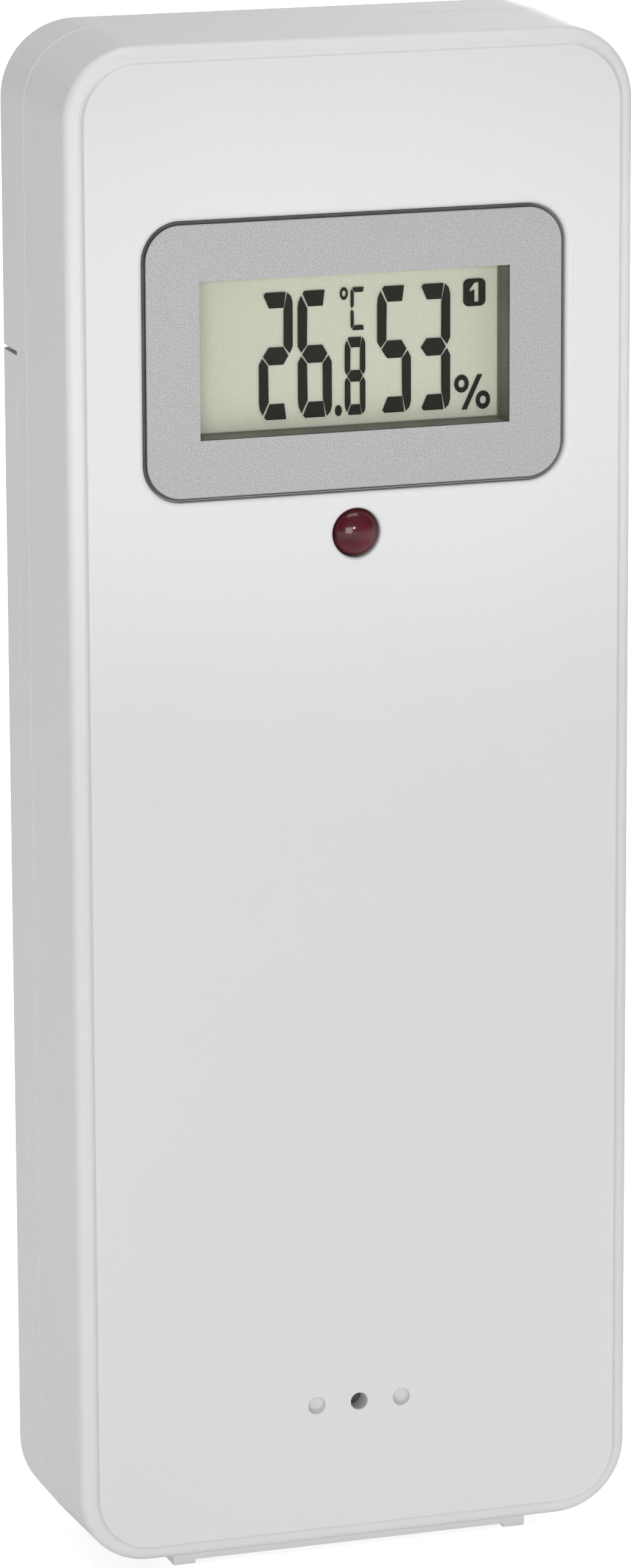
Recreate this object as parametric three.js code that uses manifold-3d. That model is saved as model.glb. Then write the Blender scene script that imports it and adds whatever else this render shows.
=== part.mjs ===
// A wireless outdoor temperature and humidity transmitter, in millimetres, +Z up.
// Every piece is modelled in the casing's own frame: x to the right as seen from the front, y from the
// front face towards the back, and z up from the lower edge of the front rim. One group then carries the
// casing to the part's frame, whose origin is the middle of the footprint, under the feet.
import * as THREE from "three";
import { mergeVertices } from "three/addons/utils/BufferGeometryUtils.js";
import Module from "manifold-3d";

const wasm = await Module();
wasm.setup();

// ---------------------------------------------------------------- driving dimensions

// Casing
const casingWidth = 49.5; // across the front rim
const casingHeight = 130; // front rim, bottom to top, without the feet
const casingDepth = 20; // raised face to back
const cornerRadius = 6.2; // front rim, seen from the front
const draft = 0.3; // the parting line stands this far outside the front rim
const partingDepth = 11.8; // where the front and the rear shell meet
const frontWall = 2;
const sideWall = 2;
const backWall = 1.6;
const backEdgeRadius = 1.4;
const fit = 0.3; // clearance between pieces that touch
const bite = 0.5; // how far joined shapes reach into each other before they are merged
const past = 1; // how far a cutting shape runs past the face that it cuts

// Front rim: a rounded rim, then a cove that rises to the raised face
const faceInset = 1.4; // raised face inside the rim's outside
const rimRadius = 0.85;
const coveDepth = 0.75; // rim crest behind the raised face

// Feet
const footHeight = 1.35;
const footHalfSpan = 16.05; // outer side of each foot
const footWidth = 2;
const footStripHeight = 1; // low strip between the feet
const footFrontDepth = 2.6;

// Display
const displayFromTop = 26.2; // centre of the panel, below the top of the rim
const panelWidth = 36.3;
const panelHeight = 22.8;
const panelRadius = 3;
const panelThickness = 0.5;
const panelSink = 0.2; // panel face behind the raised face
const panelGap = 0.4; // open joint round the panel
const windowWidth = 27.1;
const windowHeight = 13.25;
const linerWall = 0.95; // dark frame that lines the window
const lensThickness = 0.6;
const lensSink = 0.2; // lens behind the front of the dark frame
const glassWidth = 33;
const glassHeight = 19.5;
const glassThickness = 1.8;
const glassFrontDepth = 3.1;
const frameWall = 1.2;
const frameWebThickness = 0.5;
const zebraThickness = 2;
const zebraFromEdge = 0.5; // from the glass's lower edge
const zebraFromEnd = 1;

// Status light
const lightBelowPanel = 3.8;
const lightRadius = 2.05;
const lightProud = 0.6; // dome in front of the raised face
const lightFlangeRadius = 2.5;
const lightFlangeThickness = 0.8;
const lightBaseDepth = 5;
const lightDomeHeight = 1.5;
const leadWidth = 0.5;
const leadPitch = 1.27;
const leadTail = 0.8; // behind the board

// Vent
const ventHeight = 12.6;
const ventPitch = 3.83;
const ventRadius = 0.75;
const dimpleDepth = 0.7;
const ductRadius = 3.3; // inside of the duct behind the vent
const ductWall = 1;
const filterThickness = 2.2;
const sensorSize = 5;
const sensorThickness = 1.6;

// Main board
const boardFrontDepth = 7;
const boardThickness = 1.6;
const boardEdgeGap = 0.9; // board edge to side wall, and to the battery well
const boardLegWidth = 4.2; // strip beside the batteries
const boardFootHeight = 7; // strip under the batteries
const boardFootLeft = 10; // its left end, from the middle
const boardFootGap = 0.5; // below the battery well
const boardNotchGap = 0.5; // round the screw bosses
const boardTopGap = 3.9;
const boardScrewX = 17.6;
const boardScrewAboveBoardEdge = 4.6;

// Batteries, size AA
const cellRadius = 7.25;
const cellBodyLength = 49.2;
const nubLength = 1.3;
const nubRadius = 2.7;
const cellGap = 1; // between the two cells
const cellSideGap = 0.3;
const cellBackGap = 0.1; // behind the rear shell's outside, so that the cover clears the cells
const cellFloorGap = 0.2;
const cellBevel = 0.6;
const wellWall = 1.2;
const wellFloor = 1;
const wellBottom = 18.6; // inside of the battery well
const contactThickness = 0.4;
const contactDimple = 0.4; // its height
const contactDimpleRadius = 2.1;
const contactReach = 5.8; // half the plates' width, front to back
const contactHalfWidth = 6.1; // and half the single plates' width across
const springLength = 4.8;
const springWire = 0.35; // wire radius
const springTurns = 3;
const springFootRadius = 4;
const springTopRadius = 2.4;

// Battery cover
const coverFromTop = 27.4; // its upper edge, below the top of the rim
const coverTopGap = 0.4;
const coverWrapDepth = 14.9; // its front edge on the sides
const coverWall = 1.4;
const railDepth = 0.8; // how far the cover's lips reach into the rear shell
const railThickness = 0.8;
const railFromFront = 0.6; // lip behind the cover's front edge
const railBackingWall = 0.8; // rear shell wall behind the groove
const railBottom = 12;
const railTopBelowCover = 6.6;
const gripGrooves = 5;
const gripPitch = 2.2;
const gripWidth = 1.1;
const gripDepth = 0.35;
const gripHalfWidth = 8;
const gripBelowCoverTop = 9;

// Shell joint and seals
const tongueLength = 1.6;
const jointLedge = 2.9; // depth of the stepped joint in the front shell
const jointWall = 1.2; // front shell wall outside the tongue
const tongueWall = 1.2;
const gasketThickness = 0.7;
const gasketWidth = 0.9;
const sealWidth = 1;
const sealThickness = 0.5;
const sealFromWell = 1;

// Screws
const bossRadius = 2.6;
const rearBossRadius = 3.6;
const screwX = 19.2;
const screwFromEnd = 6.8;
const screwShankRadius = 1.1;
const screwHeadRadius = 2.1;
const screwHeadHeight = 1.6;
const screwLength = 8.5;
const screwSeatDepth = 15.2;
const crossWidth = 0.5;
const crossDepth = 0.9;
const boardScrewShankRadius = 0.8;
const boardScrewHeadRadius = 1.6;
const boardScrewHeadHeight = 1.1;
const boardScrewLength = 5;
const boardBoreBottom = 0.6; // left under a bore in the front wall
const pilotTail = 0.5; // bore beyond the screw's tip
const postRadius = 2.2;

// Controls on the back, under the cover
const controlsBelowCover = 9.6;
const buttonX = 12;
const buttonRadius = 2;
const buttonFlangeRadius = 3;
const buttonFlangeThickness = 0.8;
const buttonTravel = 0.5;
const switchBodySize = 6;
const switchBodyHeight = 3.6;
const switchStemRadius = 1.7;
const switchStemHeight = 1;
const channelStep = 2; // between two of the knob's three positions
const channelSteps = 2;
const knobWidth = 2;
const knobHeight = 3;
const channelBodyWidth = 8.6;
const channelBodyHeight = 4.4;
const channelBodyDepth = 3.6;
const controlRecess = 0.3; // control tops behind the rear shell's outside

// Keyhole for hanging on a screw
const keyholeFromTop = 17;
const keyholeRadius = 4;
const keySlotHalfWidth = 2.2;
const keySlotRise = 7;
const keyPocketHalfWidth = 5.2;
const keyPocketDepth = 4.2;
const keyPocketWall = 1;
const keyPocketRoom = 0.8; // pocket beyond the hole and the slot

// Radio and small components
const radioBoardWidth = 15;
const radioBoardHeight = 12;
const radioBoardThickness = 0.8;
const radioFromSide = 5; // radio board to the main board's left edge
const radioFromTop = 4.6; // and to its top edge
const canWidth = 9;
const canHeight = 8;
const canThickness = 1.8;
const coilRadius = 2.4;
const coilWire = 0.4; // wire radius
const coilTurns = 6;
const coilPitch = 1.9;
const coilFromSide = 2; // coil to the main board's right edge
const coilFromTop = 8.5; // and to its top edge
const coilGap = 0.1; // coil behind the board's parts plane
const blobRadius = 4.5;
const blobHeight = 1.4;
const blobBelowDisplay = 3; // its centre, below the display's centre
const capacitorRadius = 2.5;
const capacitorLength = 5.4;
const capacitorFromSide = 1.5;
const capacitorBelowDisplay = 5;
const crystalLength = 7;
const crystalRadius = 1.3;
const crystalGap = 2; // between the crystal and the blob
const crystalBelowDisplay = 7; // its lower end

// Fineness of the facets
const cornerSteps = 7;
const roundSteps = 24;
const smallRoundSteps = 16;
const wireSides = 6;
const coilStepsPerTurn = 12;

// ---------------------------------------------------------------- derived places

const partingHalfWidth = casingWidth / 2 + draft;
const displayZ = casingHeight - displayFromTop;
const lightZ = displayZ - panelHeight / 2 - lightBelowPanel;
const coverTopZ = casingHeight - coverFromTop;
const controlsZ = coverTopZ - controlsBelowCover;
const keyholeZ = casingHeight - keyholeFromTop;
const screwZs = { lower: screwFromEnd, upper: casingHeight - screwFromEnd };
const coreInset = coverWall + fit; // rear shell inside the cover
const coreBackDepth = casingDepth - coreInset;
const lidInnerDepth = coreBackDepth - backWall;
const cellCentreX = cellRadius + cellGap / 2;
const cellCentreDepth = coreBackDepth - cellBackGap - cellRadius;
const wellHalfWidth = cellCentreX + cellRadius + cellSideGap;
const wellFloorDepth = cellCentreDepth - cellRadius - cellFloorGap;
const cellLength = cellBodyLength + nubLength;
const lowCellBottomZ = wellBottom + fit + contactThickness + contactDimple + fit;
const highCellBottomZ = wellBottom + fit + contactThickness + springLength + fit;
const upperContactZ = highCellBottomZ + cellLength + fit + contactDimple;
const wellTop = upperContactZ + contactThickness + fit;
const boardBackDepth = boardFrontDepth + boardThickness;
const boardHalfWidth = casingWidth / 2 - sideWall - boardEdgeGap;
const boardEdgeZ = wellTop + wellWall + boardEdgeGap;
const boardTopZ = casingHeight - sideWall - boardTopGap;
const boardFootTopZ = wellBottom - wellWall - boardFootGap;
const boardScrewZ = boardEdgeZ + boardScrewAboveBoardEdge;
const holderBackDepth = boardFrontDepth - fit;
const recessDepth = panelSink + panelThickness + fit;
const gasketDepth = partingDepth - jointLedge + fit;
const tongueInset = jointWall + fit;

// ---------------------------------------------------------------- solids from three.js geometry

// A three.js geometry as a manifold-3d solid.
function solid(geometry) {
  const bare = new THREE.BufferGeometry();
  bare.setAttribute("position", geometry.getAttribute("position"));
  bare.setIndex(geometry.index);
  const merged = mergeVertices(bare, 1e-4);
  const vertProperties = new Float32Array(merged.attributes.position.array);
  const triVerts = new Uint32Array(merged.index.array);
  return new wasm.Manifold(new wasm.Mesh({ numProp: 3, vertProperties, triVerts }));
}

// A solid as a three.js geometry, flat shaded.
function geometryOf(shape) {
  const mesh = shape.getMesh();
  const geometry = new THREE.BufferGeometry();
  const position = new Float32Array(mesh.numVert * 3);
  for (let i = 0; i < mesh.numVert; i++) {
    position.set(mesh.vertProperties.subarray(i * mesh.numProp, i * mesh.numProp + 3), i * 3);
  }
  geometry.setAttribute("position", new THREE.BufferAttribute(position, 3));
  geometry.setIndex(new THREE.BufferAttribute(mesh.triVerts, 1));
  const flat = geometry.toNonIndexed();
  flat.computeVertexNormals();
  return flat;
}

// A block between two corners.
function block(x0, x1, y0, y1, z0, z1) {
  const box = new THREE.BoxGeometry(x1 - x0, y1 - y0, z1 - z0);
  return solid(box.translate((x0 + x1) / 2, (y0 + y1) / 2, (z0 + z1) / 2));
}

// A round bar from front to back.
function bar(radius, y0, y1, x, z, steps = smallRoundSteps) {
  const cylinder = new THREE.CylinderGeometry(radius, radius, y1 - y0, steps);
  return solid(cylinder.translate(x, (y0 + y1) / 2, z));
}

// A round bar upwards.
function column(radius, z0, z1, x, y, steps = smallRoundSteps) {
  const cylinder = new THREE.CylinderGeometry(radius, radius, z1 - z0, steps);
  cylinder.rotateX(Math.PI / 2);
  return solid(cylinder.translate(x, y, (z0 + z1) / 2));
}

// A turned shape whose profile is [radius, height] pairs; its axis points to the back (+y).
function turned(profile, steps = smallRoundSteps) {
  const points = profile.map(([radius, height]) => new THREE.Vector2(radius, height));
  return solid(new THREE.LatheGeometry(points, steps));
}

// The points of a rectangle with round corners, anticlockwise as seen from the front.
function roundedOutline(halfWidth, bottom, top, radius) {
  const outline = [];
  const corners = [
    [halfWidth - radius, bottom + radius, -Math.PI / 2],
    [halfWidth - radius, top - radius, 0],
    [-halfWidth + radius, top - radius, Math.PI / 2],
    [-halfWidth + radius, bottom + radius, Math.PI],
  ];
  for (const [x, z, start] of corners) {
    for (let step = 0; step <= cornerSteps; step++) {
      const angle = start + (step / cornerSteps) * (Math.PI / 2);
      outline.push(new THREE.Vector2(x + radius * Math.cos(angle), z + radius * Math.sin(angle)));
    }
  }
  return outline;
}

// The closed solid through outlines of equal point count, each at its own depth, front to back.
function loft(sections) {
  const count = sections[0].outline.length;
  const positions = [];
  for (const { outline, depth } of sections) {
    for (const point of outline) {
      positions.push(point.x, depth, point.y);
    }
  }
  const index = [];
  for (let ring = 0; ring < sections.length - 1; ring++) {
    for (let i = 0; i < count; i++) {
      const a = ring * count + i;
      const b = ring * count + ((i + 1) % count);
      index.push(a, a + count, b);
      index.push(b, a + count, b + count);
    }
  }
  const last = (sections.length - 1) * count;
  for (const [a, b, c] of THREE.ShapeUtils.triangulateShape(sections[0].outline, [])) {
    index.push(a, b, c);
  }
  for (const [a, b, c] of THREE.ShapeUtils.triangulateShape(sections.at(-1).outline, [])) {
    index.push(last + a, last + c, last + b);
  }
  const geometry = new THREE.BufferGeometry();
  geometry.setAttribute("position", new THREE.Float32BufferAttribute(positions, 3));
  geometry.setIndex(index);
  return solid(geometry);
}

// A section of the casing, a distance inside its outside at the parting line.
function casingSection(inset, depth) {
  const outline = roundedOutline(
    partingHalfWidth - inset,
    inset - draft,
    casingHeight + draft - inset,
    Math.max(cornerRadius + draft - inset, 0.4),
  );
  return { outline, depth };
}

// A plate with round corners, centred on x = 0.
function roundedPlate(width, height, radius, y0, y1, centreZ) {
  const outline = roundedOutline(width / 2, centreZ - height / 2, centreZ + height / 2, radius);
  return loft([
    { outline, depth: y0 },
    { outline, depth: y1 },
  ]);
}

// A square-cornered ring, centred on x = 0.
function frameRing(outerWidth, outerHeight, innerWidth, innerHeight, y0, y1, centreZ) {
  const outer = block(
    -outerWidth / 2, outerWidth / 2, y0, y1, centreZ - outerHeight / 2, centreZ + outerHeight / 2,
  );
  const inner = block(
    -innerWidth / 2, innerWidth / 2, y0 - past, y1 + past,
    centreZ - innerHeight / 2, centreZ + innerHeight / 2,
  );
  return outer.subtract(inner);
}

// A closed tube along a curve.
function wireAlong(curve, wireRadius, steps) {
  const section = new THREE.Shape();
  for (let side = 0; side < wireSides; side++) {
    const angle = (side / wireSides) * 2 * Math.PI;
    const x = wireRadius * Math.cos(angle);
    const y = wireRadius * Math.sin(angle);
    if (side === 0) {
      section.moveTo(x, y);
    } else {
      section.lineTo(x, y);
    }
  }
  section.closePath();
  return solid(new THREE.ExtrudeGeometry(section, { steps, extrudePath: curve, curveSegments: 1 }));
}

// A helix up the z axis whose radius changes evenly from its foot to its top.
class Helix extends THREE.Curve {
  constructor(footRadius, topRadius, length, turns) {
    super();
    this.footRadius = footRadius;
    this.topRadius = topRadius;
    this.length = length;
    this.turns = turns;
  }

  getPoint(t, target = new THREE.Vector3()) {
    const radius = this.footRadius + (this.topRadius - this.footRadius) * t;
    const angle = 2 * Math.PI * this.turns * t;
    return target.set(radius * Math.cos(angle), radius * Math.sin(angle), this.length * t);
  }
}

// ---------------------------------------------------------------- materials and nodes

const white = { color: 0xe2e2e4, roughness: 0.55, metalness: 0 };
const silver = { color: 0xb0b1b4, roughness: 0.4, metalness: 0.5 };
const olive = { color: 0x56584e, roughness: 0.6, metalness: 0 };
const lcdGreen = { color: 0xcbd0b6, roughness: 0.25, metalness: 0 };
const clear = { color: 0xf4f6f6, roughness: 0.05, metalness: 0 };
const lightRed = { color: 0x6a1016, roughness: 0.15, metalness: 0 };
const boardGreen = { color: 0x1f5a35, roughness: 0.45, metalness: 0 };
const darkRubber = { color: 0x2b2b2d, roughness: 0.8, metalness: 0 };
const greyFoam = { color: 0x6b6d70, roughness: 0.95, metalness: 0 };
const blackPlastic = { color: 0x1b1b1d, roughness: 0.5, metalness: 0 };
const steel = { color: 0xb9bcc0, roughness: 0.3, metalness: 1 };
const copper = { color: 0xb5713c, roughness: 0.35, metalness: 1 };
const cellJacket = { color: 0x3d4a58, roughness: 0.35, metalness: 0.3 };

const transmitter = new THREE.Group();
const casing = new THREE.Group();
casing.position.set(0, -(casingDepth - lightProud) / 2, footHeight);
transmitter.add(casing);

function addPiece(name, shape, look, x = 0, y = 0, z = 0) {
  const mesh = new THREE.Mesh(geometryOf(shape), new THREE.MeshStandardMaterial(look));
  mesh.name = name;
  mesh.position.set(x, y, z);
  casing.add(mesh);
  return mesh;
}

// ---------------------------------------------------------------- casing

// The strip and the two feet under the casing, between two depths.
function feet(y0, y1, top) {
  const strip = block(-footHalfSpan, footHalfSpan, y0, y1, -footStripHeight, top);
  const left = block(-footHalfSpan, -footHalfSpan + footWidth, y0, y1, -footHeight, top);
  const right = block(footHalfSpan - footWidth, footHalfSpan, y0, y1, -footHeight, top);
  return strip.add(left).add(right);
}

function frontOutside() {
  const sections = [];
  const coveSteps = 3;
  const rimSteps = 4;
  const crestInset = draft + rimRadius;
  const coveWidth = faceInset - rimRadius;
  for (let step = 0; step <= coveSteps; step++) {
    const angle = (step / coveSteps) * (Math.PI / 2);
    const inset = crestInset + coveWidth * (1 - Math.sin(angle));
    sections.push(casingSection(inset, coveDepth * (1 - Math.cos(angle))));
  }
  for (let step = 1; step <= rimSteps; step++) {
    const angle = (step / rimSteps) * (Math.PI / 2);
    const inset = crestInset - rimRadius * Math.sin(angle);
    sections.push(casingSection(inset, coveDepth + rimRadius * (1 - Math.cos(angle))));
  }
  sections.push(casingSection(0, partingDepth));
  return loft(sections);
}

function frontShell() {
  const ledgeDepth = partingDepth - jointLedge;
  let shell = frontOutside();
  shell = shell.add(feet(footFrontDepth, partingDepth, sideWall / 2));
  shell = shell.subtract(loft([
    casingSection(sideWall + draft, frontWall),
    casingSection(sideWall + draft, partingDepth + past),
  ]));
  shell = shell.subtract(loft([
    casingSection(jointWall, ledgeDepth),
    casingSection(jointWall, partingDepth + past),
  ]));
  for (const side of [-1, 1]) {
    for (const z of Object.values(screwZs)) {
      const boss = bar(bossRadius, frontWall - bite, partingDepth, side * screwX, z);
      const pilot = bar(
        screwShankRadius + fit, screwSeatDepth - screwLength - pilotTail, partingDepth + past,
        side * screwX, z,
      );
      shell = shell.add(boss).subtract(pilot);
    }
    const post = bar(postRadius, frontWall - bite, boardFrontDepth - fit, side * boardScrewX, boardScrewZ);
    const bore = bar(
      boardScrewShankRadius + fit, frontWall + boardBoreBottom, boardFrontDepth,
      side * boardScrewX, boardScrewZ,
    );
    shell = shell.add(post).subtract(bore);
  }
  shell = shell.subtract(roundedPlate(
    panelWidth + 2 * panelGap, panelHeight + 2 * panelGap, panelRadius + panelGap,
    -past, recessDepth, displayZ,
  ));
  const opening = linerWall + fit;
  shell = shell.subtract(block(
    -windowWidth / 2 - opening, windowWidth / 2 + opening, -past, frontWall + past,
    displayZ - windowHeight / 2 - opening, displayZ + windowHeight / 2 + opening,
  ));
  shell = shell.subtract(bar(lightRadius + fit, -past, frontWall + past, 0, lightZ, roundSteps));
  shell = shell.add(vent()).subtract(bar(ventRadius, -past, frontWall + past, 0, ventHeight));
  for (const side of [-1, 1]) {
    shell = shell.subtract(bar(ventRadius, -past, dimpleDepth, side * ventPitch, ventHeight));
  }
  return shell;
}

// The short duct behind the vent hole that holds the filter.
function vent() {
  const end = boardFrontDepth - sensorThickness - 2 * fit;
  const outside = bar(ductRadius + ductWall, frontWall - bite, end, 0, ventHeight, roundSteps);
  return outside.subtract(bar(ductRadius, frontWall, end + past, 0, ventHeight, roundSteps));
}

// The casing's outside behind the parting line, grown or shrunk by an inset, open ended at the front.
function rearOutside(inset, y0, backDepth) {
  const edgeSteps = 4;
  const radius = Math.max(backEdgeRadius - inset, 0.2);
  const sections = [casingSection(inset, y0)];
  for (let step = 0; step <= edgeSteps; step++) {
    const angle = (step / edgeSteps) * (Math.PI / 2);
    const away = radius * (1 - Math.cos(angle));
    sections.push(casingSection(inset + away, backDepth - radius + radius * Math.sin(angle)));
  }
  return loft(sections);
}

const farOut = 40; // well outside the casing

function rearShell() {
  const start = partingDepth + fit;
  let shell = rearOutside(0, start, casingDepth).add(feet(start, coverWrapDepth - fit, sideWall / 2));
  const coverRoom = block(
    -farOut, farOut, coverWrapDepth - fit, casingDepth + past, -farOut, coverTopZ + coverTopGap,
  );
  const core = rearOutside(coreInset, partingDepth, coreBackDepth);
  shell = shell.subtract(coverRoom).add(core.intersect(coverRoom));
  const tongueInner = tongueInset + tongueWall;
  const tongue = loft([
    casingSection(tongueInset, partingDepth - tongueLength),
    casingSection(tongueInset, start + bite),
  ]);
  shell = shell.add(tongue).subtract(loft([
    casingSection(tongueInner, partingDepth - tongueLength - past),
    casingSection(tongueInner, screwSeatDepth),
  ]));
  const innerInset = coreInset + railDepth + fit + railBackingWall;
  shell = shell.subtract(loft([
    casingSection(innerInset, screwSeatDepth - bite),
    casingSection(innerInset, lidInnerDepth),
  ]));
  const upperRoom = loft([
    casingSection(innerInset, screwSeatDepth),
    casingSection(innerInset, casingDepth - backWall),
  ]);
  const aboveCover = coverTopZ + coverTopGap + backWall;
  shell = shell.subtract(upperRoom.intersect(block(
    -farOut, farOut, 0, casingDepth, aboveCover, casingHeight + draft,
  )));
  shell = rails(shell);
  shell = screwBosses(shell);
  shell = batteryWell(shell);
  shell = controlOpenings(shell);
  return keyhole(shell);
}

// Grooves down both sides for the battery cover's lips, open at the bottom.
function rails(shell) {
  const outer = partingHalfWidth - coreInset;
  const top = coverTopZ - railTopBelowCover + fit;
  const y0 = coverWrapDepth + railFromFront - fit;
  const y1 = coverWrapDepth + railFromFront + railThickness + fit;
  for (const side of [-1, 1]) {
    const near = side * (outer - railDepth);
    const far = side * (outer + past);
    const x0 = Math.min(near, far);
    shell = shell.subtract(block(x0, Math.max(near, far), y0, y1, -farOut, top));
  }
  return shell;
}

function screwBosses(shell) {
  for (const side of [-1, 1]) {
    for (const [place, z] of Object.entries(screwZs)) {
      const back = place === "upper" ? casingDepth - bite : coreBackDepth - bite;
      const x = side * screwX;
      shell = shell.add(bar(rearBossRadius, partingDepth + fit, back, x, z, roundSteps));
      const seatRadius = screwHeadRadius + fit;
      shell = shell.subtract(bar(seatRadius, screwSeatDepth, casingDepth + past, x, z, roundSteps));
      shell = shell.subtract(bar(screwShankRadius + fit, 0, casingDepth, x, z));
    }
  }
  return shell;
}

// The open box that holds the two cells, with its seal groove round the mouth.
function batteryWell(shell) {
  const half = wellHalfWidth;
  const floorFront = wellFloorDepth - wellFloor;
  shell = shell.add(block(
    -half - wellWall, half + wellWall, floorFront, lidInnerDepth + bite,
    wellBottom - wellWall, wellTop + wellWall,
  ));
  shell = shell.subtract(block(-half, half, wellFloorDepth, casingDepth, wellBottom, wellTop));
  const near = sealFromWell - fit;
  const far = sealFromWell + sealWidth + fit;
  const groove = ringRoundWell(near, far, coreBackDepth - sealThickness - fit, casingDepth);
  return shell.subtract(groove);
}

function ringRoundWell(near, far, y0, y1) {
  const centreZ = (wellBottom + wellTop) / 2;
  const height = wellTop - wellBottom;
  return frameRing(
    2 * (wellHalfWidth + far), height + 2 * far, 2 * (wellHalfWidth + near), height + 2 * near,
    y0, y1, centreZ,
  );
}

function controlOpenings(shell) {
  for (const side of [-1, 1]) {
    shell = shell.subtract(bar(
      buttonRadius + fit, lidInnerDepth - past, coreBackDepth + past, side * buttonX, controlsZ, roundSteps,
    ));
  }
  const left = -channelStep - knobWidth / 2 - fit;
  return shell.subtract(block(
    left, -left, lidInnerDepth - past, coreBackDepth + past,
    controlsZ - knobHeight / 2 - fit, controlsZ + knobHeight / 2 + fit,
  ));
}

// The keyhole and the closed pocket behind it that the screw's head slides up in.
function keyhole(shell) {
  const pocketFloor = casingDepth - backWall - keyPocketDepth;
  const pocketBottom = keyholeZ - keyholeRadius - keyPocketRoom;
  const pocketTop = keyholeZ + keySlotRise + keyholeRadius;
  const half = keyPocketHalfWidth;
  const outside = block(
    -half - keyPocketWall, half + keyPocketWall, pocketFloor - keyPocketWall, casingDepth - backWall / 2,
    pocketBottom - keyPocketWall, pocketTop + keyPocketWall,
  );
  const inside = block(-half, half, pocketFloor, casingDepth - backWall, pocketBottom, pocketTop);
  const entry = bar(keyholeRadius, pocketFloor + past, casingDepth + past, 0, keyholeZ, roundSteps);
  const slot = block(
    -keySlotHalfWidth, keySlotHalfWidth, pocketFloor + past, casingDepth + past,
    keyholeZ, keyholeZ + keySlotRise,
  );
  const slotEnd = bar(
    keySlotHalfWidth, pocketFloor + past, casingDepth + past, 0, keyholeZ + keySlotRise, smallRoundSteps,
  );
  return shell.add(outside).subtract(inside).subtract(entry).subtract(slot).subtract(slotEnd);
}

function batteryCover() {
  const room = block(-farOut, farOut, coverWrapDepth, casingDepth + past, -farOut, coverTopZ);
  let cover = rearOutside(0, partingDepth, casingDepth).intersect(room);
  const inner = loft([
    { outline: coverInside(), depth: coverWrapDepth - past },
    { outline: coverInside(), depth: casingDepth - coverWall },
  ]);
  cover = cover.subtract(inner);
  cover = cover.add(feet(coverWrapDepth, casingDepth - backEdgeRadius, coverWall / 2));
  for (const side of [-1, 1]) {
    const wallFace = partingHalfWidth - coverWall;
    const tip = side * (wallFace - railDepth);
    const root = side * (wallFace + coverWall / 2);
    const lipFront = coverWrapDepth + railFromFront;
    cover = cover.add(block(
      Math.min(tip, root), Math.max(tip, root), lipFront, lipFront + railThickness,
      railBottom, coverTopZ - railTopBelowCover,
    ));
  }
  for (let line = 0; line < gripGrooves; line++) {
    const z = coverTopZ - gripBelowCoverTop - line * gripPitch;
    const groove = block(
      -gripHalfWidth, gripHalfWidth, casingDepth - gripDepth, casingDepth + past,
      z - gripWidth / 2, z + gripWidth / 2,
    );
    cover = cover.subtract(groove);
  }
  return cover;
}

// The inside of the cover as seen from the back, open at the top.
function coverInside() {
  return roundedOutline(
    partingHalfWidth - coverWall,
    coverWall - draft,
    casingHeight + farOut,
    Math.max(cornerRadius + draft - coverWall, 0.4),
  );
}

function shellGasket() {
  const outer = loft([
    casingSection(tongueInset, gasketDepth),
    casingSection(tongueInset, gasketDepth + gasketThickness),
  ]);
  return outer.subtract(loft([
    casingSection(tongueInset + gasketWidth, gasketDepth - past),
    casingSection(tongueInset + gasketWidth, gasketDepth + gasketThickness + past),
  ]));
}

addPiece("front_shell", frontShell(), white);
addPiece("rear_shell", rearShell(), white);
addPiece("battery_cover", batteryCover(), white);
addPiece("shell_gasket", shellGasket(), darkRubber);
addPiece(
  "battery_seal",
  ringRoundWell(sealFromWell, sealFromWell + sealWidth, coreBackDepth - sealThickness, coreBackDepth),
  greyFoam,
);

// ---------------------------------------------------------------- display

function displayPanel() {
  const plate = roundedPlate(
    panelWidth, panelHeight, panelRadius, panelSink, panelSink + panelThickness, 0,
  );
  return plate.subtract(block(
    -windowWidth / 2, windowWidth / 2, -past, frontWall, -windowHeight / 2, windowHeight / 2,
  ));
}

// The dark frame that lines the window, clips over the glass and stands on the board.
function displayFrame() {
  const webBack = glassFrontDepth - fit;
  const webFront = webBack - frameWebThickness;
  const pocketWidth = glassWidth + 2 * fit;
  const pocketHeight = glassHeight + 2 * fit;
  const outerWidth = pocketWidth + 2 * frameWall;
  const outerHeight = pocketHeight + 2 * frameWall;
  const liner = frameRing(
    windowWidth + 2 * linerWall, windowHeight + 2 * linerWall, windowWidth, windowHeight,
    recessDepth, webBack, 0,
  );
  const web = frameRing(outerWidth, outerHeight, windowWidth, windowHeight, webFront, webBack, 0);
  const skirt = frameRing(outerWidth, outerHeight, pocketWidth, pocketHeight, webFront, holderBackDepth, 0);
  return liner.add(web).add(skirt);
}

function displayLens() {
  const front = recessDepth + lensSink;
  return block(
    -windowWidth / 2 + fit, windowWidth / 2 - fit, front, front + lensThickness,
    -windowHeight / 2 + fit, windowHeight / 2 - fit,
  );
}

const glassBackDepth = glassFrontDepth + glassThickness;
const glass = block(
  -glassWidth / 2, glassWidth / 2, glassFrontDepth, glassBackDepth, -glassHeight / 2, glassHeight / 2,
);
const zebraZ = -glassHeight / 2 + zebraFromEdge + zebraThickness / 2;
const zebra = block(
  -glassWidth / 2 + zebraFromEnd, glassWidth / 2 - zebraFromEnd, glassBackDepth + fit, boardFrontDepth - fit,
  zebraZ - zebraThickness / 2, zebraZ + zebraThickness / 2,
);

addPiece("display_panel", displayPanel(), silver, 0, 0, displayZ);
addPiece("display_frame", displayFrame(), olive, 0, 0, displayZ);
addPiece("display_lens", displayLens(), clear, 0, 0, displayZ);
addPiece("lcd_glass", glass, lcdGreen, 0, 0, displayZ);
addPiece("zebra_strip", zebra, darkRubber, 0, 0, displayZ);

// ---------------------------------------------------------------- status light

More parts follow.
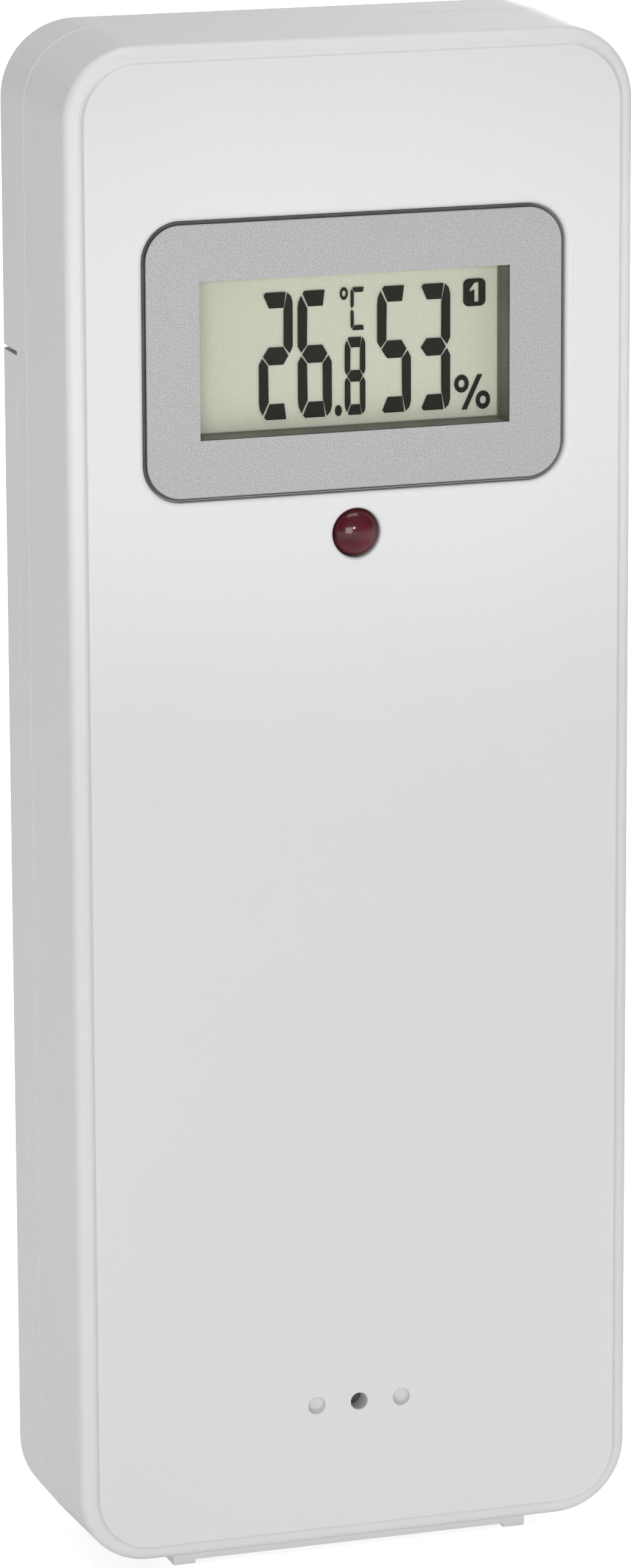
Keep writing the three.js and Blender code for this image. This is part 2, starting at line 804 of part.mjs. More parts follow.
function statusLight() {
  const domeSteps = 5;
  const profile = [[0, lightBaseDepth], [lightFlangeRadius, lightBaseDepth]];
  profile.push([lightFlangeRadius, lightBaseDepth - lightFlangeThickness]);
  profile.push([lightRadius, lightBaseDepth - lightFlangeThickness]);
  for (let step = 0; step < domeSteps; step++) {
    const angle = (step / domeSteps) * (Math.PI / 2);
    profile.push([lightRadius * Math.cos(angle), -lightProud + lightDomeHeight * (1 - Math.sin(angle))]);
  }
  profile.push([0, -lightProud]);
  return turned(profile.reverse(), roundSteps);
}

addPiece("status_light", statusLight(), lightRed, 0, 0, lightZ);
for (const [name, side] of [["light_lead_plus", 1], ["light_lead_minus", -1]]) {
  const half = leadWidth / 2;
  const lead = block(-half, half, lightBaseDepth + fit, boardBackDepth + leadTail, -half, half);
  addPiece(name, lead, steel, side * leadPitch, 0, lightZ);
}

// ---------------------------------------------------------------- main board

// One board: a full-width part behind the display, a leg beside the batteries and a foot under them.
function mainBoard() {
  const y0 = boardFrontDepth;
  const y1 = boardBackDepth;
  const footBottomZ = boardFootTopZ - boardFootHeight;
  let board = block(-boardHalfWidth, boardHalfWidth, y0, y1, boardEdgeZ, boardTopZ);
  board = board.add(block(
    boardHalfWidth - boardLegWidth, boardHalfWidth, y0, y1, footBottomZ, boardEdgeZ + bite,
  ));
  board = board.add(block(-boardFootLeft, boardHalfWidth, y0, y1, footBottomZ, boardFootTopZ));
  for (const side of [-1, 1]) {
    for (const z of Object.values(screwZs)) {
      board = board.subtract(bar(bossRadius + boardNotchGap, 0, casingDepth, side * screwX, z));
    }
    const screwHole = boardScrewShankRadius + fit;
    board = board.subtract(bar(screwHole, 0, casingDepth, side * boardScrewX, boardScrewZ));
    const hole = leadWidth / 2 + fit;
    const x = side * leadPitch;
    board = board.subtract(block(x - hole, x + hole, 0, casingDepth, lightZ - hole, lightZ + hole));
  }
  return board;
}

// A screw along y: its head's underside at 0, its head to the back and its shank to the front.
function crossScrew(shankRadius, headRadius, headHeight, length) {
  const screw = turned([
    [0, -length],
    [shankRadius * 0.5, -length],
    [shankRadius, -length + shankRadius],
    [shankRadius, 0],
    [headRadius, 0],
    [headRadius, headHeight * 0.6],
    [headRadius * 0.7, headHeight],
    [0, headHeight],
  ]);
  const reach = headRadius * 0.55;
  const half = crossWidth / 2;
  const across = block(-reach, reach, headHeight - crossDepth, headHeight + past, -half, half);
  const upright = block(-half, half, headHeight - crossDepth, headHeight + past, -reach, reach);
  return screw.subtract(across).subtract(upright);
}

addPiece("main_board", mainBoard(), boardGreen);
for (const [hand, side] of [["left", -1], ["right", 1]]) {
  const boardScrew = crossScrew(
    boardScrewShankRadius, boardScrewHeadRadius, boardScrewHeadHeight, boardScrewLength,
  );
  addPiece(
    `board_screw_${hand}`, boardScrew, steel, side * boardScrewX, boardBackDepth + fit, boardScrewZ,
  );
  for (const [place, z] of Object.entries(screwZs)) {
    const shellScrew = crossScrew(screwShankRadius, screwHeadRadius, screwHeadHeight, screwLength);
    addPiece(`shell_screw_${place}_${hand}`, shellScrew, steel, side * screwX, screwSeatDepth + fit, z);
  }
}

// ---------------------------------------------------------------- sensor and vent

const sensorFront = boardFrontDepth - fit - sensorThickness;
const sensor = block(
  -sensorSize / 2, sensorSize / 2, 0, sensorThickness, -sensorSize / 2, sensorSize / 2,
).subtract(bar(ventRadius, -past, sensorThickness / 2, 0, 0));
addPiece("humidity_sensor", sensor, blackPlastic, 0, sensorFront, ventHeight);
addPiece(
  "vent_filter",
  bar(ductRadius - fit, frontWall + fit, frontWall + fit + filterThickness, 0, 0, roundSteps),
  greyFoam,
  0,
  0,
  ventHeight,
);

// ---------------------------------------------------------------- radio and small components

const componentDepth = boardBackDepth + fit;
const radioX = -boardHalfWidth + radioFromSide + radioBoardWidth / 2;
const radioZ = boardTopZ - radioFromTop - radioBoardHeight / 2;

addPiece(
  "radio_board",
  block(
    -radioBoardWidth / 2, radioBoardWidth / 2, 0, radioBoardThickness,
    -radioBoardHeight / 2, radioBoardHeight / 2,
  ),
  boardGreen,
  radioX,
  componentDepth,
  radioZ,
);
addPiece(
  "radio_can",
  block(-canWidth / 2, canWidth / 2, 0, canThickness, -canHeight / 2, canHeight / 2),
  steel,
  radioX,
  componentDepth + radioBoardThickness + fit,
  radioZ,
);

function antennaCoil() {
  const helix = new Helix(coilRadius, coilRadius, coilTurns * coilPitch, coilTurns);
  return wireAlong(helix, coilWire, coilTurns * coilStepsPerTurn);
}

const coilMesh = addPiece(
  "antenna_coil",
  antennaCoil(),
  copper,
  boardHalfWidth - coilRadius - coilFromSide,
  componentDepth + coilRadius + coilWire + coilGap,
  boardTopZ - coilTurns * coilPitch - coilFromTop,
);
coilMesh.rotation.z = Math.PI / 2;

function controllerBlob() {
  const steps = 4;
  const profile = [[0, 0], [blobRadius, 0]];
  for (let step = 1; step < steps; step++) {
    const angle = (step / steps) * (Math.PI / 2);
    profile.push([blobRadius * Math.cos(angle), blobHeight * Math.sin(angle)]);
  }
  profile.push([0, blobHeight]);
  return turned(profile, roundSteps);
}

addPiece("controller_blob", controllerBlob(), blackPlastic, 0, componentDepth, displayZ - blobBelowDisplay);
addPiece(
  "reservoir_capacitor",
  bar(capacitorRadius, 0, capacitorLength, 0, 0),
  blackPlastic,
  boardHalfWidth - capacitorRadius - capacitorFromSide,
  componentDepth,
  displayZ - capacitorBelowDisplay,
);
addPiece(
  "crystal_can",
  column(crystalRadius, 0, crystalLength, 0, 0),
  steel,
  blobRadius + crystalRadius + crystalGap,
  componentDepth + crystalRadius,
  displayZ - crystalBelowDisplay,
);

// ---------------------------------------------------------------- controls

// A tact switch: a square body with a round stem towards the back.
function tactSwitch() {
  const half = switchBodySize / 2;
  const body = block(-half, half, 0, switchBodyHeight, -half, half);
  return body.add(bar(switchStemRadius, switchBodyHeight - bite, switchBodyHeight + switchStemHeight, 0, 0));
}

// A button: a flange inside the rear shell and a stem out through its wall.
function buttonCap() {
  const front = componentDepth + switchBodyHeight + switchStemHeight + buttonTravel + fit;
  const flangeBack = lidInnerDepth - fit;
  const top = coreBackDepth - controlRecess;
  const flange = bar(buttonFlangeRadius, flangeBack - buttonFlangeThickness, flangeBack, 0, 0, roundSteps);
  return flange.add(bar(buttonRadius, front, top, 0, 0, roundSteps));
}

for (const [name, side] of [["transmit", -1], ["unit", 1]]) {
  addPiece(`${name}_switch`, tactSwitch(), blackPlastic, side * buttonX, componentDepth, controlsZ);
  addPiece(`${name}_button`, buttonCap(), darkRubber, side * buttonX, 0, controlsZ);
}

// The channel switch: a body on the board, and a knob that rests at its left position.
function channelKnob() {
  const bodyBack = componentDepth + channelBodyDepth;
  const stem = block(
    -knobWidth / 2, knobWidth / 2, bodyBack + fit, coreBackDepth - controlRecess,
    -knobHeight / 2, knobHeight / 2,
  );
  const skirtBack = lidInnerDepth - fit;
  const skirt = block(
    -knobWidth, knobWidth, skirtBack - buttonFlangeThickness, skirtBack, -knobHeight * 0.8, knobHeight * 0.8,
  );
  return stem.add(skirt);
}

addPiece(
  "channel_switch",
  block(
    -channelBodyWidth / 2, channelBodyWidth / 2, 0, channelBodyDepth,
    -channelBodyHeight / 2, channelBodyHeight / 2,
  ),
  steel,
  0,
  componentDepth,
  controlsZ,
);
addPiece("channel_knob", channelKnob(), blackPlastic, (-channelStep * channelSteps) / 2, 0, controlsZ);

// ---------------------------------------------------------------- batteries and their contacts

// An AA cell standing up: its flat end at 0, its nub at the top.
function cell() {
  const body = new THREE.LatheGeometry(
    [
      [0, 0],
      [cellRadius - cellBevel, 0],
      [cellRadius, cellBevel],
      [cellRadius, cellBodyLength - cellBevel],
      [cellRadius - cellBevel, cellBodyLength],
      [nubRadius, cellBodyLength],
      [nubRadius, cellLength],
      [0, cellLength],
    ].map(([radius, height]) => new THREE.Vector2(radius, height)),
    roundSteps,
  );
  return solid(body.rotateX(Math.PI / 2));
}

// A contact spring that stands up from a plate at z = 0, with its plate.
function springContact() {
  const radius = springFootRadius;
  const helix = new Helix(radius, springTopRadius, springLength - 2 * springWire, springTurns);
  const wire = wireAlong(helix, springWire, springTurns * coilStepsPerTurn);
  return wire.translate([0, 0, springWire * 0.6]);
}

function contactPlate(x0, x1) {
  return block(x0, x1, -contactReach, contactReach, -contactThickness, 0);
}

function dimple() {
  return column(contactDimpleRadius, -contactThickness / 2, contactDimple, 0, 0);
}

const linkContact = contactPlate(-cellCentreX - contactHalfWidth, cellCentreX + contactHalfWidth)
  .add(dimple().translate([-cellCentreX, 0, 0]))
  .add(springContact().translate([cellCentreX, 0, 0]));
addPiece(
  "contact_link", linkContact, steel, 0, cellCentreDepth, wellBottom + fit + contactThickness,
);

const negativeContact = contactPlate(-contactHalfWidth, contactHalfWidth).add(springContact());
const negativeMesh = addPiece(
  "contact_negative", negativeContact, steel, -cellCentreX, cellCentreDepth, upperContactZ,
);
negativeMesh.rotation.x = Math.PI;

const positiveContact = contactPlate(-contactHalfWidth, contactHalfWidth).add(dimple());
const positiveMesh = addPiece(
  "contact_positive", positiveContact, steel, cellCentreX, cellCentreDepth, upperContactZ,
);
positiveMesh.rotation.x = Math.PI;

const leftCell = addPiece(
  "cell_left", cell(), cellJacket, -cellCentreX, cellCentreDepth, lowCellBottomZ + cellLength,
);
leftCell.rotation.x = Math.PI;
addPiece("cell_right", cell(), cellJacket, cellCentreX, cellCentreDepth, highCellBottomZ);

export default transmitter;
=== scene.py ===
"""The looks of a wireless outdoor temperature and humidity transmitter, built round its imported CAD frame.

Lengths are named in millimetres in the casing's own frame: x to the right as seen from the front, depth from
the raised front face towards the back, and height up from the lower edge of the front rim. spot() turns them
into the frame's metres.
"""

import math

import bmesh
import bpy
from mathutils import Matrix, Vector


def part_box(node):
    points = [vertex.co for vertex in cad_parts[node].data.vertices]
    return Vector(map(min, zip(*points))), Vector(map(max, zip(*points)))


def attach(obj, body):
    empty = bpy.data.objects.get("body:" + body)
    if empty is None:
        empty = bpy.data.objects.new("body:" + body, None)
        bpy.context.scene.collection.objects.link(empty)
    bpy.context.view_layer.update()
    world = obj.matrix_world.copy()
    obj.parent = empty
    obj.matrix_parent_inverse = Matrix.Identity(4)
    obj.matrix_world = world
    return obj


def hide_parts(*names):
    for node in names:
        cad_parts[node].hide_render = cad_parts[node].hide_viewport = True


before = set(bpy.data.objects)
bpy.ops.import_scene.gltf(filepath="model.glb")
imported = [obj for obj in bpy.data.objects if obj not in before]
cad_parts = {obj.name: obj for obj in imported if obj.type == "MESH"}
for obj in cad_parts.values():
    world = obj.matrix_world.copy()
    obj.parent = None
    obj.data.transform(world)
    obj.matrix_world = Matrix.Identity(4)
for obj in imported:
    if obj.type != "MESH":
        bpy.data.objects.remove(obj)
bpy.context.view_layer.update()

MM = 0.001
FOOT_HEIGHT = 1.35
FIT = 0.3  # clearance that the CAD pieces keep to each other

FRONT_LOW, FRONT_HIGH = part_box("front_shell")
FRONT_Y = FRONT_LOW.y
BASE_Z = FRONT_LOW.z + FOOT_HEIGHT * MM


def spot(x, depth, height):
    """A point of the casing's own frame, in the frame's metres."""
    return Vector((x * MM, FRONT_Y + depth * MM, BASE_Z + height * MM))


def box_mm(node):
    """A CAD node's box in the casing's own frame: ((x0, x1), (depth0, depth1), (height0, height1))."""
    low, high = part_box(node)
    return (
        (low.x / MM, high.x / MM),
        ((low.y - FRONT_Y) / MM, (high.y - FRONT_Y) / MM),
        ((low.z - BASE_Z) / MM, (high.z - BASE_Z) / MM),
    )


def middle(span):
    return (span[0] + span[1]) / 2


def around(centre, half):
    return (centre - half, centre + half)


# ---------------------------------------------------------------- sizes

# Casing outside
HALF_WIDTH = FRONT_HIGH.x / MM  # at the parting line
DRAFT = 0.3  # the front rim lies this far inside the parting line
CASING_TOP = (FRONT_HIGH.z - BASE_Z) / MM
CASING_BOTTOM = -DRAFT
CORNER_RADIUS = 6.5  # at the parting line
PARTING = (FRONT_HIGH.y - FRONT_Y) / MM
SEAM_GAP = 0.14
REAR_START = PARTING + SEAM_GAP
BACK = box_mm("rear_shell")[1][1]
BACK_EDGE_RADIUS = 1.4
SEAM_CHAMFER = 0.1

# Front rim
FACE_INSET = 1.4
FACE_EDGE_RADIUS = 0.22
RIM_RADIUS = 0.85
RIM_CREST = 0.75

# Walls
FRONT_WALL = 2
SIDE_WALL = 2
BACK_WALL = 1.6
JOINT_WALL = 1.2
LEDGE_DEPTH = PARTING - 2.9
TONGUE_LENGTH = 1.6
TONGUE_WALL = 1.2

# Feet
FOOT_SPAN = 16.05
FOOT_WIDTH = 2
FOOT_STRIP = 1
FOOT_FRONT = 2.6
FOOT_BEVEL = 0.12

# Display
PANEL_X, PANEL_DEPTH, PANEL_HEIGHT = box_mm("display_panel")
PANEL_RADIUS = 3
PANEL_GAP = 0.32
PANEL_LIP = 0.5
PANEL_SEAT = 0.22  # how far the dark seat shows round the panel: painted shade in the gap
PANEL_CHAMFER = 0.07
RECESS_DEPTH = 1
DISPLAY_Z = middle(PANEL_HEIGHT)
LENS_X, _, LENS_HEIGHT = box_mm("display_lens")
WINDOW_HALF_WIDTH = LENS_X[1] + FIT
WINDOW_HALF_HEIGHT = (LENS_HEIGHT[1] - LENS_HEIGHT[0]) / 2 + FIT
LINER_WALL = 0.95
LINER_ROOM = 0.1  # clearance round the liner
GLASS_DEPTH = box_mm("lcd_glass")[1]

# Light and vent
LIGHT_X, LIGHT_DEPTH, LIGHT_HEIGHT = box_mm("status_light")
LIGHT_Z = middle(LIGHT_HEIGHT)
LIGHT_RADIUS = 2.05
LIGHT_LIP = 0.3
LIGHT_GAP = 0.04
LIGHT_RISE = 1.5  # height of the dome above its cylinder
LIGHT_FLANGE = 0.8
VENT_Z = middle(box_mm("vent_filter")[2])
VENT_PITCH = 3.83
VENT_RADIUS = 0.75
VENT_LIP = 0.12
DIMPLE_DEPTH = 0.7
DIMPLE_ROUND = 0.45

# Battery cover
COVER_TOP = box_mm("battery_cover")[2][1]
COVER_FRONT = box_mm("battery_cover")[1][0]
COVER_WALL = 1.4
COVER_GAP = 0.06
COVER_TOP_GAP = 0.4
COVER_CHAMFER = 0.16
CORE_INSET = COVER_WALL + FIT
CORE_BACK = BACK - CORE_INSET
LID_INNER = CORE_BACK - BACK_WALL
RAIL_REACH = 0.8
RAIL_THICKNESS = 0.8
RAIL_FROM_FRONT = 0.6
RAIL_BOTTOM = 12
RAIL_TOP = COVER_TOP - 6.6

# Fineness
CORNER_STEPS = 16
ROUND_STEPS = 64
FILLET_STEPS = 6
DOME_STEPS = 14
TURNED_STEPS = 48  # round the light and the buttons
BORE_STEPS = 32
SHARP_DEGREES = 38
BORE_PAST = 1  # how far a cutter runs past the face that it cuts
WIDE = 40  # well outside the casing
HAIR = 0.02  # a gap too small to see


# ---------------------------------------------------------------- mesh tools


def rounded(half_width, bottom, top, radius, steps=CORNER_STEPS):
    """The outline of a rectangle with round corners, anticlockwise as seen from the front."""
    corners = (
        (half_width - radius, bottom + radius, -90),
        (half_width - radius, top - radius, 0),
        (-half_width + radius, top - radius, 90),
        (-half_width + radius, bottom + radius, 180),
    )
    points = []
    for x, height, start in corners:
        for angle in quarter(steps):
            turn = math.radians(start) + angle
            points.append((x + radius * math.cos(turn), height + radius * math.sin(turn)))
    return points


def quarter(steps=FILLET_STEPS, first=0):
    """Angles from zero to a right angle; with first=1 the zero is left out."""
    return [math.pi / 2 * step / steps for step in range(first, steps + 1)]


def circle(radius, x, height, steps=ROUND_STEPS):
    turn = 2 * math.pi / steps
    return [(x + radius * math.cos(turn * i), height + radius * math.sin(turn * i)) for i in range(steps)]


def casing_outline(inset):
    """The casing's outline, a distance inside its outline at the parting line."""
    radius = max(CORNER_RADIUS - inset, 0.4)
    return rounded(HALF_WIDTH - inset, CASING_BOTTOM + inset, CASING_TOP - inset, radius)


def object_of(name, mesh_data):
    piece = bpy.data.objects.new(name, mesh_data)
    bpy.context.scene.collection.objects.link(piece)
    return piece


def from_bmesh(name, shape):
    mesh_data = bpy.data.meshes.new(name)
    bmesh.ops.recalc_face_normals(shape, faces=shape.faces)
    shape.to_mesh(mesh_data)
    shape.free()
    return object_of(name, mesh_data)


def skinned(name, rings, capped=False):
    """A mesh over rings of equally many places; a ring of one place is a tip."""
    shape = bmesh.new()
    corners = [[shape.verts.new(place_at) for place_at in ring] for ring in rings]
    count = max(len(ring) for ring in rings)
    for near, far in zip(corners, corners[1:]):
        for i in range(count):
            j = (i + 1) % count
            if len(near) == 1:
                shape.faces.new((near[0], far[j], far[i]))
            elif len(far) == 1:
                shape.faces.new((near[i], near[j], far[0]))
            else:
                shape.faces.new((near[i], near[j], far[j], far[i]))
    if capped:
        shape.faces.new(corners[0])
        shape.faces.new(list(reversed(corners[-1])))
    return from_bmesh(name, shape)


def loft(name, sections):
    """A closed solid through (outline, depth) sections of equal point count, from front to back."""
    rings = [[spot(x, depth, height) for x, height in outline] for outline, depth in sections]
    return skinned(name, rings, capped=True)


def slab(name, outline, depth0, depth1):
    return loft(name, [(outline, depth0), (outline, depth1)])


def block(name, x, depth, height, bevel=0.0, segments=2):
    """A block over three (low, high) spans, its edges rounded by bevel."""
    shape = bmesh.new()
    bmesh.ops.create_cube(shape, size=1)
    low = spot(x[0], depth[0], height[0])
    high = spot(x[1], depth[1], height[1])
    for vertex in shape.verts:
        share = vertex.co + Vector((0.5, 0.5, 0.5))
        vertex.co = Vector([low[i] + (high[i] - low[i]) * share[i] for i in range(3)])
    if bevel:
        bmesh.ops.bevel(
            shape, geom=list(shape.edges), offset=bevel * MM, segments=segments, profile=0.5, affect="EDGES"
        )
    return from_bmesh(name, shape)


def turned(name, profile, x, height, steps=ROUND_STEPS):
    """A shape turned round a front-to-back axis from (radius, depth) pairs; both ends lie on the axis."""
    rings = []
    for radius, depth in profile:
        ring = circle(radius, x, height, steps) if radius else [(x, height)]
        rings.append([spot(px, depth, pz) for px, pz in ring])
    return skinned(name, rings)


def upright(name, profile, x, depth, steps=ROUND_STEPS, capped=False):
    """A shape turned round an upright axis from (radius, height) pairs."""
    rings = []
    for radius, height in profile:
        ring = circle(radius, x, depth, steps) if radius else [(x, depth)]
        rings.append([spot(px, py, height) for px, py in ring])
    return skinned(name, rings, capped)


def bake(piece):
    """Applies a piece's modifiers."""
    graph = bpy.context.evaluated_depsgraph_get()
    made = bpy.data.meshes.new_from_object(piece.evaluated_get(graph))
    old = piece.data
    piece.modifiers.clear()
    piece.data = made
    bpy.data.meshes.remove(old)
    return piece


def combine(piece, operation, others):
    """Joins or cuts the others into the piece, one after the other, and removes them."""
    for other in others:
        modifier = piece.modifiers.new(operation, "BOOLEAN")
        modifier.operation = operation
        modifier.solver = "EXACT"
        modifier.object = other
        bake(piece)
        bpy.data.objects.remove(other)
    return piece


def cut(piece, *others):
    return combine(piece, "DIFFERENCE", others)


def join(piece, *others):
    return combine(piece, "UNION", others)


def keep(piece, *others):
    return combine(piece, "INTERSECT", others)


def soften(piece):
    """Smooth shading between edges sharper than SHARP_DEGREES, and flat faces that stay flat."""
    for polygon in piece.data.polygons:
        polygon.use_smooth = True
    piece.data.set_sharp_from_angle(angle=math.radians(SHARP_DEGREES))
    normals = piece.modifiers.new("normals", "WEIGHTED_NORMAL")
    normals.mode = "FACE_AREA"
    normals.weight = 50
    normals.keep_sharp = True
    return piece


def flared(name, outline_at, lip, end):
    """A cutter from outside the face to a depth, whose mouth rounds the edge that it leaves."""
    sections = [(outline_at(lip), -BORE_PAST)]
    for angle in quarter():
        sections.append((outline_at(lip * (1 - math.sin(angle))), lip * (1 - math.cos(angle))))
    sections.append((outline_at(0), end))
    return loft(name, sections)


def flared_bore(name, radius, lip, end, x, height):
    return flared(name, lambda grow: circle(radius + grow, x, height, BORE_STEPS), lip, end)


# ---------------------------------------------------------------- material tools


def new_material(name):
    material = bpy.data.materials.new(name)
    material.use_nodes = True
    return material


def node(material, kind, **values):
    """A shader node; each value goes to its socket of that name, or else to its setting."""
    made = material.node_tree.nodes.new(kind)
    for key, value in values.items():
        socket = key.replace("_", " ")
        if socket in made.inputs:
            made.inputs[socket].default_value = value
        else:
            setattr(made, key, value)
    return made


def link(material, source, target):
    material.node_tree.links.new(source, target)


def place(material):
    """The position on the object, in metres."""
    return node(material, "ShaderNodeTexCoord").outputs["Object"]


def noise(material, size, detail=2.0, roughness=0.5):
    """Noise whose features are about size millimetres across."""
    made = node(material, "ShaderNodeTexNoise", Scale=1 / (size * MM), Detail=detail, Roughness=roughness)
    link(material, place(material), made.inputs["Vector"])
    return made.outputs["Fac"]


def ramp(material, source, stops):
    """Colours or greys by position; stops is [(position, colour), ...]."""
    made = node(material, "ShaderNodeValToRGB")
    elements = made.color_ramp.elements
    while len(elements) > 2:
        elements.remove(elements[-1])
    for index, (position, colour) in enumerate(stops):
        element = elements[index] if index < 2 else elements.new(position)
        element.position = position
        element.color = (*colour, 1) if len(colour) == 3 else colour
    link(material, source, made.inputs["Fac"])
    return made.outputs["Color"]


def span(material, source, low, high):
    """Rescales 0..1 to low..high."""
    made = node(material, "ShaderNodeMapRange", To_Min=low, To_Max=high)
    link(material, source, made.inputs["Value"])
    return made.outputs["Result"]


def bump(material, source, strength, depth):
    made = node(material, "ShaderNodeBump", Strength=strength, Distance=depth * MM)
    link(material, source, made.inputs["Height"])
    return made.outputs["Normal"]


def shader(material, **values):
    principled = material.node_tree.nodes["Principled BSDF"]
    for key, value in values.items():
        principled.inputs[key.replace("_", " ")].default_value = value
    return principled


def feed(material, principled, **sources):
    """Links each source to the shader's socket of that name."""
    for key, source in sources.items():
        link(material, source, principled.inputs[key.replace("_", " ")])


def scaled(colour, factor):
    return tuple(min(1.0, channel * factor) for channel in colour)


# width of the painted highlight along the edges
EDGE_HIGHLIGHT_WIDTH = 0.2


def painted_edge_highlight(material, shades, bare):
    """Mixes a paler colour over the edges as a painted highlight, broken up by noise."""
    bevel = node(material, "ShaderNodeBevel", samples=4, Radius=EDGE_HIGHLIGHT_WIDTH * MM)
    flat = node(material, "ShaderNodeNewGeometry")
    turn = node(material, "ShaderNodeVectorMath", operation="DOT_PRODUCT")
    link(material, bevel.outputs["Normal"], turn.inputs[0])
    link(material, flat.outputs["Normal"], turn.inputs[1])
    mask = ramp(material, turn.outputs["Value"], [(0.86, (1, 1, 1)), (0.98, (0, 0, 0))])
    patches = ramp(material, noise(material, 1.5, 3.0), [(0.4, (0, 0, 0)), (0.65, (1, 1, 1))])
    both = node(material, "ShaderNodeMath", operation="MULTIPLY")
    link(material, mask, both.inputs[0])
    link(material, patches, both.inputs[1])
    mix = node(material, "ShaderNodeMixRGB", Color2=(*bare, 1))
    link(material, both.outputs["Value"], mix.inputs["Fac"])
    link(material, shades, mix.inputs["Color1"])
    return mix.outputs["Color"]


def grained(name, colour, rough, grain, grain_depth, vary=0.05, cloud=18.0, **values):
    """A material with a fine surface grain, and slow changes of colour and roughness."""
    material = new_material(name)
    principled = shader(material, **values)
    clouds = noise(material, cloud, 3.0)
    shades = ramp(material, clouds, [(0.3, scaled(colour, 1 - vary)), (0.7, scaled(colour, 1 + vary))])
    fine = noise(material, grain, 2.0)
    feed(
        material, principled,
        # the base colour gets a painted highlight along its edges
        Base_Color=painted_edge_highlight(material, shades, scaled(colour, 1.08)),
        Roughness=span(material, fine, *rough),
        Normal=bump(material, fine, 0.6, grain_depth),
    )
    return material


WHITE = grained("white_moulding", (0.61, 0.61, 0.612), (0.46, 0.6), 0.16, 0.012, 0.012, 30.0)
OLIVE = grained("olive_frame", (0.125, 0.13, 0.102), (0.42, 0.58), 0.2, 0.01, 0.06, 6.0)
RUBBER = grained("soft_rubber", (0.035, 0.035, 0.038), (0.6, 0.8), 0.25, 0.02, 0.12, 5.0)
FOAM = grained("open_foam", (0.16, 0.165, 0.17), (0.85, 1.0), 0.5, 0.25, 0.25, 1.2)
BLACK = grained("black_plastic", (0.014, 0.014, 0.015), (0.35, 0.55), 0.2, 0.015, 0.15, 4.0)
STEEL = grained("plated_steel", (0.58, 0.58, 0.6), (0.2, 0.38), 0.3, 0.006, 0.06, 3.0, Metallic=1.0)
COPPER = grained("enamelled_wire", (0.55, 0.21, 0.07), (0.22, 0.38), 0.3, 0.006, 0.1, 2.0, Metallic=1.0)


def silver_print():
    """Silver print with a fine metallic sparkle."""
    material = new_material("silver_print")
    principled = shader(material, Metallic=0.25)
    flakes = noise(material, 0.13, 3.0, 0.7)
    shades = ramp(material, flakes, [(0.35, (0.28, 0.28, 0.285)), (0.65, (0.43, 0.43, 0.435))])
    rough = span(material, flakes, 0.36, 0.56)
    feed(material, principled, Base_Color=shades, Roughness=rough, Normal=bump(material, flakes, 0.5, 0.012))
    return material


def lcd_reflector():
    """The pale green reflector behind the liquid crystal."""
    material = new_material("lcd_reflector")
    principled = shader(material)
    dots = noise(material, 0.11, 2.0, 0.6)
    shades = ramp(material, dots, [(0.3, (0.48, 0.502, 0.398)), (0.7, (0.55, 0.572, 0.455))])
    rough = span(material, dots, 0.5, 0.7)
    feed(material, principled, Base_Color=shades, Roughness=rough, Normal=bump(material, dots, 0.3, 0.008))
    return material


def clear_window():
    """A clear pane that lets light through and keeps its gloss."""
    material = new_material("clear_window")
    principled = shader(material, Base_Color=(0.02, 0.02, 0.02, 1), Alpha=0.02, IOR=1.45)
    feed(material, principled, Roughness=span(material, noise(material, 8.0, 2.0), 0.02, 0.06))
    return material


def red_epoxy():
    """Dark red see-through epoxy."""
    material = new_material("red_epoxy")
    principled = shader(material, Transmission_Weight=0.35, IOR=1.4)
    swirl = noise(material, 2.2, 2.0)
    shades = ramp(material, swirl, [(0.35, (0.08, 0.009, 0.014)), (0.7, (0.145, 0.016, 0.025))])
    feed(material, principled, Base_Color=shades, Roughness=span(material, swirl, 0.08, 0.2))
    return material


def circuit_board():
    """Green solder mask with a hint of the tracks under it."""
    material = new_material("circuit_board")
    principled = shader(material, Coat_Weight=0.3, Coat_Roughness=0.25)
    tracks = node(
        material, "ShaderNodeTexBrick", Scale=1 / (4 * MM), Mortar_Size=0.05,
        Color1=(0.014, 0.10, 0.04, 1), Color2=(0.02, 0.125, 0.05, 1), Mortar=(0.03, 0.19, 0.075, 1),
    )
    turn = node(material, "ShaderNodeMapping", Rotation=(math.pi / 2, 0, 0))
    link(material, place(material), turn.inputs["Vector"])
    link(material, turn.outputs["Vector"], tracks.inputs["Vector"])
    feed(
        material, principled,
        Base_Color=tracks.outputs["Color"],
        Roughness=span(material, noise(material, 0.4, 2.0), 0.35, 0.5),
        Normal=bump(material, tracks.outputs["Fac"], 0.4, 0.03),
    )
    return material


SILVER = silver_print()
REFLECTOR = lcd_reflector()
WINDOW = clear_window()
RED = red_epoxy()
BOARD = circuit_board()
LCD_DARK = grained(
    "lcd_ink", (0.017, 0.019, 0.014), (0.5, 0.65), 0.2, 0.004, 0.1, 1.5, Specular_IOR_Level=0.1
)
# painted shade for the gap round the display panel, on the panel's side faces and on the seat
GAP_SHADE = grained("painted_gap_shade", (0.085, 0.085, 0.085), (0.5, 0.7), 0.2, 0.02, 0.15, 2.0)
LIGHT_CORE = grained("light_core", (0.11, 0.010, 0.02), (0.3, 0.5), 0.3, 0.01, 0.3, 1.0)
JACKET = grained("cell_jacket", (0.045, 0.07, 0.11), (0.25, 0.4), 0.6, 0.01, 0.1, 5.0, Metallic=0.3)
JACKET_BAND = grained("cell_band", (0.5, 0.51, 0.53), (0.3, 0.45), 0.6, 0.01, 0.06, 5.0, Metallic=0.6)


def dress(piece, material, body, slot, *stands_for):
    """Gives a piece its material and its body, and hides the CAD nodes that it stands for. The slot is not
    used.
    """
    piece.data.materials.clear()
    piece.data.materials.append(material)
    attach(piece, body)
    if stands_for:
        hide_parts(*stands_for)
    return piece


# ---------------------------------------------------------------- casing


